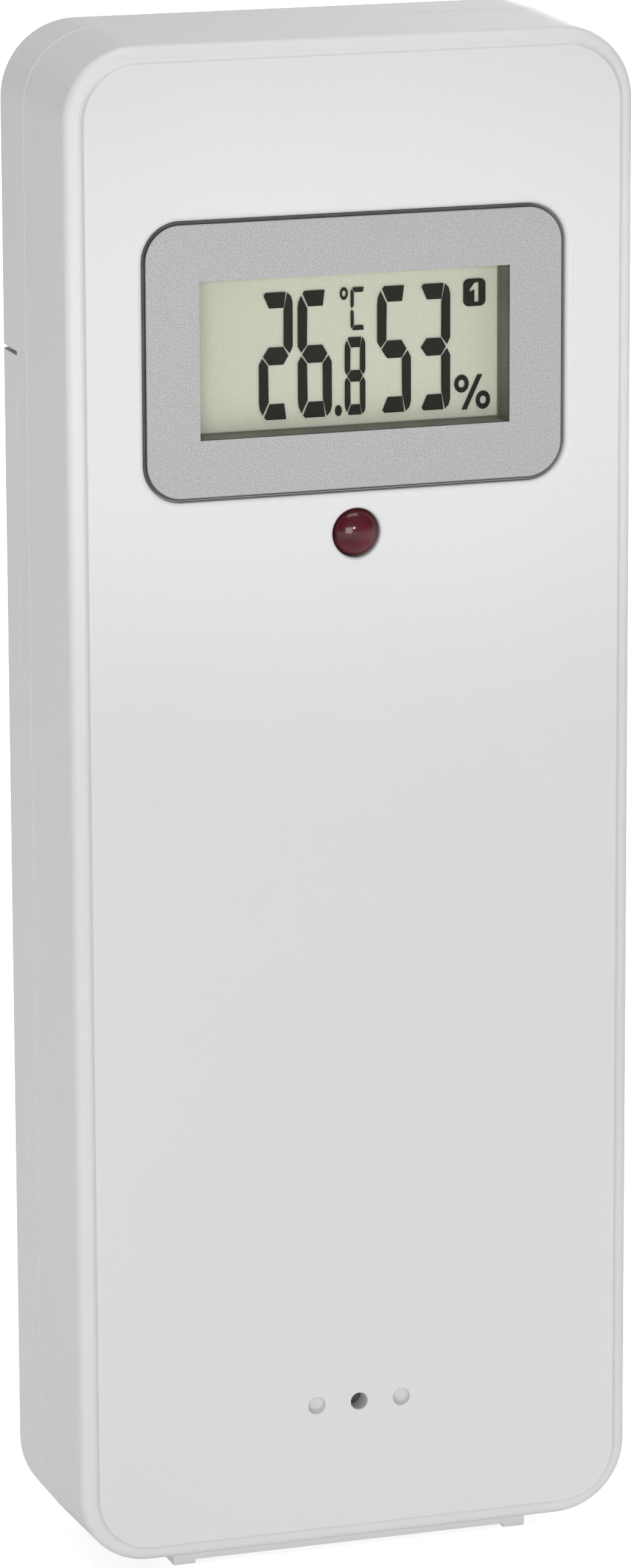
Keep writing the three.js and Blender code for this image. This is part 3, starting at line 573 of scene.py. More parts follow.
def feet(depth0, depth1, top):
    """The low strip and the two feet under the casing, between two depths."""
    parts = []
    spans = (
        (-FOOT_SPAN, FOOT_SPAN, FOOT_STRIP),
        (-FOOT_SPAN, -FOOT_SPAN + FOOT_WIDTH, FOOT_HEIGHT),
        (FOOT_SPAN - FOOT_WIDTH, FOOT_SPAN, FOOT_HEIGHT),
    )
    for x0, x1, drop in spans:
        parts.append(block("foot", (x0, x1), (depth0, depth1), (-drop, top), FOOT_BEVEL))
    return parts


def front_outside():
    """The front shell's outside: the raised face, the cove round it, the rim and the drafted wall."""
    sections = []
    face_inset = DRAFT + FACE_INSET
    for angle in quarter():
        inset = face_inset + FACE_EDGE_RADIUS * (1 - math.sin(angle))
        sections.append((casing_outline(inset), FACE_EDGE_RADIUS * (1 - math.cos(angle))))
    cove_width = FACE_INSET - RIM_RADIUS
    cove_height = RIM_CREST - FACE_EDGE_RADIUS
    for angle in quarter(FILLET_STEPS, 1):
        inset = face_inset - cove_width * (1 - math.cos(angle))
        sections.append((casing_outline(inset), FACE_EDGE_RADIUS + cove_height * math.sin(angle)))
    crest_inset = DRAFT + RIM_RADIUS
    for angle in quarter(2 * FILLET_STEPS, 1):
        inset = crest_inset - RIM_RADIUS * math.sin(angle)
        sections.append((casing_outline(inset), RIM_CREST + RIM_RADIUS * (1 - math.cos(angle))))
    sections.append((casing_outline(0), PARTING - SEAM_CHAMFER))
    sections.append((casing_outline(SEAM_CHAMFER), PARTING))
    return loft("front_casing", sections)


def panel_outline(grow):
    """The panel's outline, a distance outside its edge."""
    half_width = (PANEL_X[1] - PANEL_X[0]) / 2 + grow
    return rounded(half_width, PANEL_HEIGHT[0] - grow, PANEL_HEIGHT[1] + grow, PANEL_RADIUS + grow)


def recess_outline(grow):
    return panel_outline(PANEL_GAP + grow)


def front_casing():
    """The front shell with its hollow, the ledge for the tongue, the display recess and the small holes."""
    shell = front_outside()
    join(shell, *feet(FOOT_FRONT, PARTING - HAIR, 1))
    inner = casing_outline(SIDE_WALL + DRAFT)
    cut(shell, slab("hollow", inner, FRONT_WALL, PARTING + BORE_PAST))
    cut(shell, slab("ledge", casing_outline(JOINT_WALL), LEDGE_DEPTH, PARTING + BORE_PAST))
    cut(shell, flared("recess", recess_outline, PANEL_LIP, RECESS_DEPTH))
    cut(shell, window_block("opening", LINER_WALL + LINER_ROOM, (-BORE_PAST, FRONT_WALL + BORE_PAST)))
    bore = LIGHT_RADIUS + LIGHT_GAP
    cut(shell, flared_bore("light_hole", bore, LIGHT_LIP, FRONT_WALL + BORE_PAST, 0, LIGHT_Z))
    cut(shell, flared_bore("vent_hole", VENT_RADIUS, VENT_LIP, FRONT_WALL + BORE_PAST, 0, VENT_Z))
    for side in (-1, 1):
        cut(shell, dimple(side * VENT_PITCH))
    soften(shell)
    dress(shell, WHITE, "casing", "white_plastic", "front_shell")


def dimple(x):
    """A shallow round-bottomed hole."""
    lip = [(VENT_RADIUS + VENT_LIP, -BORE_PAST)]
    for angle in quarter():
        lip.append((VENT_RADIUS + VENT_LIP * (1 - math.sin(angle)), VENT_LIP * (1 - math.cos(angle))))
    floor = []
    for angle in quarter():
        floor.append((
            VENT_RADIUS - DIMPLE_ROUND * (1 - math.cos(angle)),
            DIMPLE_DEPTH - DIMPLE_ROUND * (1 - math.sin(angle)),
        ))
    return turned("dimple", [(0, -BORE_PAST), *lip, *floor, (0, DIMPLE_DEPTH)], x, VENT_Z, BORE_STEPS)


def rear_outside(name, inset, depth0, back, chamfer=0.0):
    """The casing's outside behind a depth, a distance inside its outline, with a rounded back edge."""
    radius = max(BACK_EDGE_RADIUS - inset, 0.25)
    sections = []
    if chamfer:
        sections.append((casing_outline(inset + chamfer), depth0))
    sections.append((casing_outline(inset), depth0 + chamfer))
    for angle in quarter(2 * FILLET_STEPS):
        away = radius * (1 - math.cos(angle))
        sections.append((casing_outline(inset + away), back - radius + radius * math.sin(angle)))
    return loft(name, sections)


SCREW_X = middle(box_mm("shell_screw_upper_right")[0])
SCREW_HEIGHTS = {
    "upper": middle(box_mm("shell_screw_upper_right")[2]),
    "lower": middle(box_mm("shell_screw_lower_right")[2]),
}
SCREW_SEAT = 15.2
SCREW_HEAD_RADIUS = 2.1
SCREW_SHANK_RADIUS = 1.1
SCREW_LIP = 0.2
SCREW_STEPS = 40
REAR_BOSS_RADIUS = 3.6

CELLS_X = (box_mm("cell_left")[0][0], box_mm("cell_right")[0][1])
CELL_RADIUS = (box_mm("cell_left")[0][1] - box_mm("cell_left")[0][0]) / 2
WELL_HALF_WIDTH = CELLS_X[1] + 0.3
WELL_BOTTOM = box_mm("contact_link")[2][0] - FIT
WELL_TOP = box_mm("contact_positive")[2][1] + FIT
WELL_FLOOR = box_mm("cell_left")[1][0] - 0.2
WELL_WALL = 1.2
SEAL_X, SEAL_DEPTH, SEAL_HEIGHT = box_mm("battery_seal")
SEAL_WIDTH = 1

BUTTON_X = middle(box_mm("unit_button")[0])
CONTROLS_Z = middle(box_mm("unit_button")[2])
BUTTON_RADIUS = 2
FLANGE = 0.8  # thickness of the flanges that hold the buttons and the knob in
KNOB_X, KNOB_DEPTH, KNOB_HEIGHT = box_mm("channel_knob")
KNOB_HALF_WIDTH = 1
KNOB_HALF_HEIGHT = 1.5
CHANNEL_STEP = 2
RIDGE_PITCH = 0.55
RIDGE_DEPTH = 0.25
RIDGE_HALF_WIDTH = 0.12
RIDGE_HALF_LENGTH = 1.1

KEY_Z = CASING_TOP - DRAFT - 17
KEY_RADIUS = 4
KEY_SLOT = 2.2
KEY_RISE = 7
KEY_POCKET_HALF = 5.2
KEY_POCKET_DEPTH = 4.2
KEY_POCKET_WALL = 1
KEY_ROOM = 0.8  # room under the screw head
KEY_LIP = 0.25


def back_flared(name, outline_at, lip, start):
    """A cutter from a depth out through the back face, whose mouth rounds the edge that it leaves."""
    sections = [(outline_at(0), start)]
    for angle in quarter():
        sections.append((outline_at(lip * (1 - math.cos(angle))), BACK - lip * (1 - math.sin(angle))))
    sections.append((outline_at(lip), BACK + BORE_PAST))
    return loft(name, sections)


def keyhole_outline(grow):
    """The keyhole seen from the back, anticlockwise as seen from the front."""
    radius = KEY_RADIUS + grow
    slot = KEY_SLOT + grow
    join_angle = math.asin(slot / radius)
    points = []
    steps = 40
    start = math.pi / 2 + join_angle
    sweep = 2 * math.pi - 2 * join_angle
    for step in range(steps + 1):
        angle = start + sweep * step / steps
        points.append((radius * math.cos(angle), KEY_Z + radius * math.sin(angle)))
    for step in range(17):
        angle = math.pi * step / 16
        points.append((slot * math.cos(angle), KEY_Z + KEY_RISE + slot * math.sin(angle)))
    return points


def keyhole(shell):
    """A closed pocket behind the back wall, and the keyhole into it."""
    pocket_floor = BACK - BACK_WALL - KEY_POCKET_DEPTH
    bottom = KEY_Z - KEY_RADIUS - KEY_ROOM
    top = KEY_Z + KEY_RISE + KEY_RADIUS
    half = KEY_POCKET_HALF
    wall = KEY_POCKET_WALL
    pocket_depth = (pocket_floor - wall, BACK - BACK_WALL / 2)
    join(shell, block("pocket", around(0, half + wall), pocket_depth, (bottom - wall, top + wall)))
    cut(shell, block("pocket_room", around(0, half), (pocket_floor, BACK - BACK_WALL), (bottom, top)))
    cut(shell, back_flared("keyhole", keyhole_outline, KEY_LIP, pocket_floor + BORE_PAST))


def rear_casing():
    """The rear shell: an upper part at full depth, and a lower core that the cover slides over."""
    shell = rear_outside("rear_casing", 0, REAR_START, BACK, SEAM_CHAMFER)
    room_top = COVER_TOP + COVER_TOP_GAP
    room_depth = (COVER_FRONT - COVER_GAP, BACK + BORE_PAST)
    cut(shell, block("cover_room", (-WIDE, WIDE), room_depth, (-WIDE, room_top)))
    core = rear_outside("core", CORE_INSET, REAR_START + 1, CORE_BACK)
    core_depth = (REAR_START, BACK + BORE_PAST)
    keep(core, block("lower", (-WIDE, WIDE), core_depth, (-WIDE, room_top + 0.5)))
    join(shell, core)
    join(shell, *feet(REAR_START, COVER_FRONT - COVER_GAP, 1))
    tongue_inset = JOINT_WALL + FIT
    join(shell, slab("tongue", casing_outline(tongue_inset), PARTING - TONGUE_LENGTH, REAR_START + 0.5))
    inner = casing_outline(tongue_inset + TONGUE_WALL)
    cut(shell, slab("front_room", inner, PARTING - TONGUE_LENGTH - BORE_PAST, SCREW_SEAT))
    deep = casing_outline(CORE_INSET + RAIL_REACH + FIT + 0.8)
    cut(shell, slab("back_room", deep, SCREW_SEAT - 0.5, LID_INNER))
    rails(shell)
    screw_bosses(shell)
    battery_well(shell)
    control_openings(shell)
    keyhole(shell)
    soften(shell)
    dress(shell, WHITE, "casing", "white_plastic", "rear_shell")


def rails(shell):
    """Grooves for the cover's lips down both sides of the core, open at the bottom."""
    outer = HALF_WIDTH - CORE_INSET
    depth = (COVER_FRONT + RAIL_FROM_FRONT - FIT, COVER_FRONT + RAIL_FROM_FRONT + RAIL_THICKNESS + FIT)
    for side in (-1, 1):
        spans = sorted((side * (outer - RAIL_REACH), side * (outer + BORE_PAST)))
        cut(shell, block("rail", spans, depth, (-WIDE, RAIL_TOP + FIT)))


def screw_bosses(shell):
    """A boss, a seat and a bore for each shell screw; the upper seats open at the back face."""
    for side in (-1, 1):
        for name, height in SCREW_HEIGHTS.items():
            x = side * SCREW_X
            back = BACK - 0.5 if name == "upper" else CORE_BACK - 0.5
            boss = circle(REAR_BOSS_RADIUS, x, height, SCREW_STEPS)
            join(shell, slab("boss", boss, REAR_START + 0.3, back))

            def seat(grow):
                return circle(SCREW_HEAD_RADIUS + FIT + grow, x, height, SCREW_STEPS)

            if name == "upper":
                cut(shell, back_flared("seat", seat, SCREW_LIP, SCREW_SEAT))
            else:
                cut(shell, slab("seat", seat(0), SCREW_SEAT, BACK))
            cut(shell, slab("bore", circle(SCREW_SHANK_RADIUS + FIT, x, height, BORE_STEPS), 0, BACK))


def battery_well(shell):
    """The well for the cells, and the groove round it for the battery seal."""
    half = WELL_HALF_WIDTH
    well_depth = (WELL_FLOOR - 1, LID_INNER + 0.5)
    well_height = (WELL_BOTTOM - WELL_WALL, WELL_TOP + WELL_WALL)
    join(shell, block("well", around(0, half + WELL_WALL), well_depth, well_height))
    cut(shell, block("well_room", around(0, half), (WELL_FLOOR, BACK), (WELL_BOTTOM, WELL_TOP)))
    outer = block(
        "groove",
        (SEAL_X[0] - FIT, SEAL_X[1] + FIT),
        (SEAL_DEPTH[0] - FIT, BACK),
        (SEAL_HEIGHT[0] - FIT, SEAL_HEIGHT[1] + FIT),
    )
    inside = SEAL_WIDTH + FIT
    cut(outer, block(
        "groove_core",
        (SEAL_X[0] + inside, SEAL_X[1] - inside),
        (SEAL_DEPTH[0] - 2, BACK + 1),
        (SEAL_HEIGHT[0] + inside, SEAL_HEIGHT[1] - inside),
    ))
    cut(shell, outer)


def control_openings(shell):
    """Round holes for the buttons and a slot for the channel knob."""
    for side in (-1, 1):
        outline = circle(BUTTON_RADIUS + FIT, side * BUTTON_X, CONTROLS_Z, SCREW_STEPS)
        cut(shell, slab("button_hole", outline, LID_INNER - BORE_PAST, CORE_BACK + BORE_PAST))
    travel = around(0, CHANNEL_STEP + KNOB_HALF_WIDTH + FIT)
    slot_height = around(CONTROLS_Z, KNOB_HALF_HEIGHT + FIT)
    cut(shell, block("knob_slot", travel, (LID_INNER - BORE_PAST, CORE_BACK + BORE_PAST), slot_height))


def sliding_cover():
    """The battery cover: a tray with two lips that run in the core's rails."""
    cover = rear_outside("sliding_cover", 0, COVER_FRONT, BACK, COVER_CHAMFER)
    keep(cover, block("keep", (-WIDE, WIDE), (COVER_FRONT - BORE_PAST, BACK + BORE_PAST), (-WIDE, COVER_TOP)))
    inside = rounded(
        HALF_WIDTH - COVER_WALL, CASING_BOTTOM + COVER_WALL, CASING_TOP + WIDE, CORNER_RADIUS - COVER_WALL
    )
    cut(cover, slab("inside", inside, COVER_FRONT - BORE_PAST, BACK - COVER_WALL))
    join(cover, *feet(COVER_FRONT, BACK - BACK_EDGE_RADIUS, 0.6))
    wall_face = HALF_WIDTH - COVER_WALL
    lip_front = COVER_FRONT + RAIL_FROM_FRONT
    for side in (-1, 1):
        spans = sorted((side * (wall_face - RAIL_REACH), side * (wall_face + COVER_WALL / 2)))
        join(cover, block("lip", spans, (lip_front, lip_front + RAIL_THICKNESS), (RAIL_BOTTOM, RAIL_TOP)))
    grip(cover)
    soften(cover)
    dress(cover, WHITE, "cover", "white_plastic", "battery_cover")


GRIP_LINES = 5
GRIP_PITCH = 2.2
GRIP_WIDTH = 1.1
GRIP_DEPTH = 0.35
GRIP_HALF_LENGTH = 8
GRIP_FROM_TOP = 9


def grip(cover):
    """Thumb grooves across the back of the cover."""
    for line in range(GRIP_LINES):
        height = COVER_TOP - GRIP_FROM_TOP - line * GRIP_PITCH
        outline = rounded_bar(GRIP_HALF_LENGTH, GRIP_WIDTH / 2, height)
        cut(cover, slab("groove", outline, BACK - GRIP_DEPTH, BACK + BORE_PAST))


def rounded_bar(half_length, half_width, height):
    """A bar with round ends that lies across the casing."""
    return rounded(half_length, height - half_width, height + half_width, half_width * 0.999, 6)


# ---------------------------------------------------------------- display


def display_panel():
    """The silver panel with its dark edge, and the dark seat that shows round it; edge and seat are painted
    shade in the gap round the panel.
    """
    panel = loft("silver_panel", [
        (panel_outline(-PANEL_CHAMFER), PANEL_DEPTH[0]),
        (panel_outline(0), PANEL_DEPTH[0] + PANEL_CHAMFER),
        (panel_outline(0), PANEL_DEPTH[1]),
    ])
    cut(panel, window_block("window", 0, (-BORE_PAST, FRONT_WALL)))
    soften(panel)
    dress(panel, SILVER, "casing", "silver_panel", "display_panel")
    # the panel's side faces get the painted gap shade
    panel.data.materials.append(GAP_SHADE)
    for polygon in panel.data.polygons:
        if abs(polygon.normal.y) < 0.5:
            polygon.material_index = 1
    # a dark seat round the panel: painted shade in the recess gap
    seat = slab("gap_shade_seat", panel_outline(PANEL_SEAT), PANEL_DEPTH[1] + HAIR, RECESS_DEPTH - HAIR)
    cut(seat, window_block("window", LINER_WALL + LINER_ROOM, (-BORE_PAST, FRONT_WALL)))
    soften(seat)
    dress(seat, GAP_SHADE, "casing", "foam")


def window_block(name, grow, depth):
    """A block the size of the display window, grown on all four sides."""
    height = around(DISPLAY_Z, WINDOW_HALF_HEIGHT + grow)
    return block(name, around(0, WINDOW_HALF_WIDTH + grow), depth, height)


BORDER_WIDTH = 0.07
BORDER_THICKNESS = 0.2
REFLECTOR_GAP = 0.16  # reflector behind the ink


def display_frame():
    """The dark frame behind the window: a liner, a small border in front of the glass and a skirt."""
    liner = window_block("dark_frame", LINER_WALL, (PANEL_DEPTH[1] + HAIR, GLASS_DEPTH[0] - 0.05))
    skirt_x, skirt_depth, skirt_height = box_mm("display_frame")
    skirt = block("skirt", skirt_x, (GLASS_DEPTH[0] - 0.8, skirt_depth[1]), skirt_height, 0.15)
    glass_x, _, glass_height = box_mm("lcd_glass")
    room = block(
        "glass_room",
        (glass_x[0] - FIT, glass_x[1] + FIT),
        (GLASS_DEPTH[0] - 0.06, skirt_depth[1] + BORE_PAST),
        (glass_height[0] - FIT, glass_height[1] + FIT),
    )
    cut(skirt, room)
    join(liner, skirt)
    cut(liner, window_block("through", 0, (-BORE_PAST, GLASS_DEPTH[0] - BORDER_THICKNESS)))
    cut(liner, window_block("border", -BORDER_WIDTH, (-BORE_PAST, GLASS_DEPTH[0] + BORE_PAST)))
    soften(liner)
    dress(liner, OLIVE, "casing", "olive_plastic", "display_frame")


def lcd():
    """The reflector plate, with the ink in front of it."""
    glass_x, glass_depth, glass_height = box_mm("lcd_glass")
    plate_depth = (glass_depth[0] + REFLECTOR_GAP, glass_depth[1])
    plate = block("lcd_reflector", glass_x, plate_depth, glass_height, 0.05)
    soften(plate)
    dress(plate, REFLECTOR, "casing", "lcd", "lcd_glass")
    segments()


SEGMENTS = {"2": "abged", "6": "afgedc", "8": "abcdefg", "5": "afgcd", "3": "abgcd"}
INK_THICKNESS = 0.02


def mirrored(points, z0, z1):
    """The same polygon upside down in its box."""
    return [(x, z0 + z1 - z) for x, z in reversed(points)]


def segment_shapes(x0, x1, z0, z1, stroke, bar):
    """The seven segments of a digit in a box, with the thin gaps between them."""
    middle_z = (z0 + z1) / 2
    top_bar = [
        (x0 + 0.55 * stroke, z1 - 0.17 * bar),
        (x0 + 1.15 * stroke, z1 - bar),
        (x1 - 0.97 * stroke, z1 - bar),
        (x1 - 0.75 * stroke, z1),
        (x0 + 0.78 * stroke, z1),
    ]
    right_upright = [
        (x1 - 0.58 * stroke, z1 - 0.04 * bar),
        (x1 - 0.98 * stroke, z1 - 1.2 * bar),
        (x1 - stroke, middle_z + 0.63 * bar),
        (x1 - 0.35 * stroke, middle_z + 0.12 * bar),
        (x1, middle_z + 0.56 * bar),
        (x1, z1 - 0.66 * bar),
        (x1 - 0.18 * stroke, z1 - 0.28 * bar),
    ]
    left_upright = [
        (x0 + 0.38 * stroke, z1 - 0.3 * bar),
        (x0 + 0.08 * stroke, z1 - 0.7 * bar),
        (x0, z1 - 1.1 * bar),
        (x0, middle_z + 0.5 * bar),
        (x0 + 0.37 * stroke, middle_z + 0.12 * bar),
        (x0 + stroke, middle_z + 0.6 * bar),
        (x0 + 1.05 * stroke, z1 - 1.12 * bar),
    ]
    crossbar = [
        (x0 + 0.47 * stroke, middle_z),
        (x0 + 1.1 * stroke, middle_z - 0.56 * bar),
        (x1 - 1.05 * stroke, middle_z - 0.56 * bar),
        (x1 - 0.48 * stroke, middle_z),
        (x1 - 1.05 * stroke, middle_z + 0.56 * bar),
        (x0 + 1.1 * stroke, middle_z + 0.56 * bar),
    ]
    return {
        "a": top_bar,
        "b": right_upright,
        "c": mirrored(right_upright, z0, z1),
        "d": mirrored(top_bar, z0, z1),
        "e": mirrored(left_upright, z0, z1),
        "f": left_upright,
        "g": crossbar,
    }


DIGIT_WIDTH = 2.97
DIGIT_HEIGHTS = (98.02, 108.72)
DIGIT_STROKE = 0.8
DIGIT_BAR = 1.33
DIGITS_LEFT = (("2", -7.52), ("6", -4.11), ("5", 2.86), ("3", 6.34))
SMALL_DIGIT = ("8", 0.0, 1.81, 98.03, 104.59)
SMALL_STROKE = 0.48
SMALL_BAR = 0.87


def ring_shape(shape, x, z, rx, rz, inner, squareness=2.0, steps=32):
    """A flat ring, or a disc where inner is 0, on the ink plane."""
    def edge(share):
        points = []
        for i in range(steps):
            angle = 2 * math.pi * i / steps
            c, s = math.cos(angle), math.sin(angle)
            power = 2 / squareness
            px = math.copysign(abs(c) ** power, c) * rx * share
            pz = math.copysign(abs(s) ** power, s) * rz * share
            points.append(shape.verts.new(spot(x + px, GLASS_DEPTH[0], z + pz)))
        return points

    outside = edge(1)
    if not inner:
        shape.faces.new(outside)
        return
    inside = edge(inner)
    for i in range(steps):
        j = (i + 1) % steps
        shape.faces.new((outside[i], outside[j], inside[j], inside[i]))


def flat_polygon(shape, points):
    shape.faces.new([shape.verts.new(spot(x, GLASS_DEPTH[0], z)) for x, z in points])


def digit(shape, figure, x0, x1, z0, z1, stroke, bar):
    shapes = segment_shapes(x0, x1, z0, z1, stroke, bar)
    for letter in SEGMENTS[figure]:
        flat_polygon(shape, shapes[letter])


def segments():
    """The dark ink of the display: digits, unit signs and a channel mark."""
    shape = bmesh.new()
    for figure, left in DIGITS_LEFT:
        digit(shape, figure, left, left + DIGIT_WIDTH, *DIGIT_HEIGHTS, DIGIT_STROKE, DIGIT_BAR)
    digit(shape, *SMALL_DIGIT, SMALL_STROKE, SMALL_BAR)
    ring_shape(shape, -0.57, 98.46, 0.3, 0.47, 0)
    degree_sign(shape)
    percent_sign(shape)
    channel_mark(shape)
    thick = bmesh.ops.extrude_face_region(shape, geom=list(shape.faces))
    moved = [v for v in thick["geom"] if isinstance(v, bmesh.types.BMVert)]
    bmesh.ops.translate(shape, verts=moved, vec=(0, INK_THICKNESS * MM, 0))
    ink = from_bmesh("lcd_ink", shape)
    dress(ink, LCD_DARK, "casing", "lcd")


def degree_sign(shape):
    """A small ring and a segmented C."""
    ring_shape(shape, -0.06, 108.3, 0.35, 0.54, 0.48)
    shapes = segment_shapes(0.53, 1.88, 105.16, 108.78, 0.27, 0.42)
    for letter in "afed":
        flat_polygon(shape, shapes[letter])


def percent_sign(shape):
    """Two rings and a slanted stroke."""
    ring_shape(shape, 10.32, 100.09, 0.64, 0.76, 0.44)
    ring_shape(shape, 12.23, 98.62, 0.64, 0.78, 0.44)
    flat_polygon(shape, [(10.33, 97.88), (10.78, 97.88), (12.17, 100.8), (11.73, 100.8)])


def channel_mark(shape):
    """A rounded dark box with a bright figure one left open in it."""
    x0, x1, z0, z1 = 10.47, 12.44, 106.61, 108.94
    outline = [(x + (x0 + x1) / 2, z) for x, z in rounded((x1 - x0) / 2, z0, z1, 0.5, 8)]
    figure = [
        (11.45, 106.97),
        (11.82, 106.97),
        (11.82, 108.6),
        (11.48, 108.6),
        (11.05, 108.06),
        (11.05, 107.82),
        (11.45, 108.02),
    ]
    edges = []
    for points in (outline, figure):
        ring = [shape.verts.new(spot(x, GLASS_DEPTH[0], z)) for x, z in points]
        for i, vertex in enumerate(ring):
            edges.append(shape.edges.new((vertex, ring[(i + 1) % len(ring)])))
    bmesh.ops.triangle_fill(shape, edges=edges, use_beauty=True)


# ---------------------------------------------------------------- status light


def status_light():
    """The dome, a cylinder and a flange in one, with a darker core inside."""
    dome_depth, base = LIGHT_DEPTH
    flange = LIGHT_X[1]
    flange_front = base - LIGHT_FLANGE
    profile = [(0, dome_depth)]
    for angle in quarter(DOME_STEPS, 1):
        profile.append((LIGHT_RADIUS * math.sin(angle), dome_depth + LIGHT_RISE * (1 - math.cos(angle))))
    profile += [(LIGHT_RADIUS, flange_front), (flange, flange_front), (flange, base), (0, base)]
    dome = turned("light_dome", profile, 0, LIGHT_Z, TURNED_STEPS)
    soften(dome)
    dress(dome, RED, "casing", "red_light", "status_light")
    core = turned(
        "light_core",
        [(0, 1.15), (0.55, 1.1), (0.9, 0.85), (1.25, 0.8), (1.35, 0.95), (1.35, base - 1), (0, base - 1)],
        0, LIGHT_Z, TURNED_STEPS,
    )
    soften(core)
    dress(core, LIGHT_CORE, "casing", "red_light")


# ---------------------------------------------------------------- controls


def buttons():
    """The two soft buttons behind the cover, with a dished top."""
    radius = BUTTON_RADIUS
    flange_back = LID_INNER - FIT
    flange_front = flange_back - FLANGE
    for name in ("transmit_button", "unit_button"):
        x, (front, top), height = box_mm(name)
        flange = (x[1] - x[0]) / 2
        profile = [(0, front), (radius - 0.1, front), (radius, front + 0.1)]
        profile += [(radius, flange_front), (flange, flange_front), (flange, flange_back)]
        profile += [(radius, flange_back), (radius, top - 0.3)]
        profile += [(radius - 0.09, top - 0.09), (radius - 0.3, top)]
        profile += [(radius * 0.6, top - 0.12), (radius * 0.3, top - 0.2), (0, top - 0.22)]
        piece = turned(f"{name}_cap", profile, middle(x), middle(height), TURNED_STEPS)
        soften(piece)
        dress(piece, RUBBER, name, "rubber", name)


def channel_knob():
    """The sliding knob, with a ridged top and a skirt that covers its slot."""
    centre = middle(KNOB_X)
    stem_height = around(CONTROLS_Z, KNOB_HALF_HEIGHT)
    stem = block("slide_knob", around(centre, KNOB_HALF_WIDTH), KNOB_DEPTH, stem_height, 0.18, 3)
    skirt_back = LID_INNER - FIT
    join(stem, block("skirt", KNOB_X, (skirt_back - FLANGE, skirt_back), KNOB_HEIGHT, 0.1))
    ridge_depth = (KNOB_DEPTH[1] - RIDGE_DEPTH, BACK)
    for line in range(-1, 2):
        ridge = around(centre + line * RIDGE_PITCH, RIDGE_HALF_WIDTH)
        cut(stem, block("ridge", ridge, ridge_depth, around(CONTROLS_Z, RIDGE_HALF_LENGTH)))
    soften(stem)
    dress(stem, BLACK, "channel_knob", "black_plastic", "channel_knob")


# ---------------------------------------------------------------- screws, cells and contacts


HEAD_RIM = 0.7
HEAD_DOME = 0.9
CROSS_DEPTH = 0.9
CROSS_REACH = 1.15
CROSS_HALF = 0.26


def shell_screws():
    for side, hand in ((-1, "left"), (1, "right")):
        for name, height in SCREW_HEIGHTS.items():
            cad = f"shell_screw_{name}_{hand}"
            _, depth, _ = box_mm(cad)
            screw = pan_head_screw(f"{cad}_steel", side * SCREW_X, height, depth)
            dress(screw, STEEL, "casing", "steel", cad)


def pan_head_screw(name, x, height, depth):
    """A cross-recess screw whose head is at the back."""
    tip, top = depth
    head = top - HEAD_RIM - HEAD_DOME
    radius = SCREW_HEAD_RADIUS
    shank = SCREW_SHANK_RADIUS
    rim = head + HEAD_RIM
    profile = [(0, tip), (shank * 0.5, tip), (shank, tip + shank), (shank, head)]
    profile += [(radius, head), (radius, rim)]
    for angle in quarter(FILLET_STEPS, 1):
        profile.append((0.6 * radius + 0.4 * radius * math.cos(angle), rim + HEAD_DOME * math.sin(angle)))
    profile.append((0, top))
    screw = turned(name, profile, x, height, SCREW_STEPS)
    recess = (top - CROSS_DEPTH, BACK + 5)
    for across, up in ((CROSS_REACH, CROSS_HALF), (CROSS_HALF, CROSS_REACH)):
        cut(screw, block("cross", around(x, across), recess, around(height, up)))
    return soften(screw)


def cells():
    """Two AA cells: a jacket, a plain band at the plus end and bare metal ends."""
    for name, up in (("cell_left", False), ("cell_right", True)):
        x, depth, height = box_mm(name)
        cell = standing_cell(f"{name}_jacket", middle(x), middle(depth), height, up)
        dress(cell, JACKET, "casing", "cell", name)
        for material in (JACKET_BAND, STEEL):
            cell.data.materials.append(material)
        mark_cell(cell, height, up)


CELL_NUB = 1.3  # how far the plus end's nub stands out of the jacket
CELL_BAND_FROM = 39  # from the minus end
CELL_METAL_FROM = 49.3


def standing_cell(name, x, depth, height, up):
    """A cell's shape, drawn from the minus end to the plus end."""
    length = height[1] - height[0]
    body = length - CELL_NUB
    radius = CELL_RADIUS
    profile = [(0, 0), (5.2, 0), (5.6, 0.25), (6.2, 0.25)]
    profile += [(radius - 0.35, 0.05), (radius - 0.1, 0.15), (radius, 0.4)]
    profile += [(radius, 2), (radius, body - 10), (radius, body - 0.4), (radius - 0.1, body - 0.15)]
    profile += [(radius - 0.35, body - 0.05), (6.1, body - 0.3), (3.2, body - 0.3), (2.7, body)]
    profile += [(2.7, length - 0.25), (2.45, length), (0, length)]
    standing = [(r, height[0] + rise if up else height[1] - rise) for r, rise in profile]
    return soften(upright(name, standing, x, depth))


def mark_cell(cell, height, up):
    """Bare metal at the ends, a band at the plus end, and the jacket between."""
    top = BASE_Z + height[1] * MM
    bottom = BASE_Z + height[0] * MM
    for polygon in cell.data.polygons:
        z = polygon.center.z
        from_minus = (z - bottom if up else top - z) / MM
        if abs(polygon.normal.z) > 0.5 or from_minus > CELL_METAL_FROM:
            polygon.material_index = 2
        elif from_minus > CELL_BAND_FROM:
            polygon.material_index = 1
        else:
            polygon.material_index = 0


def contacts():
    """The plated contacts: springs and plates."""
    for name in ("contact_link", "contact_negative", "contact_positive"):
        contact_piece(name)


SPRING_WIRE = 0.35
SPRING_TURNS = 3
SPRING_FOOT = 4
SPRING_TOP = 2.4
SPRING_STEPS = 36  # in each turn
WIRE_SIDES = 12
PLATE = 0.4


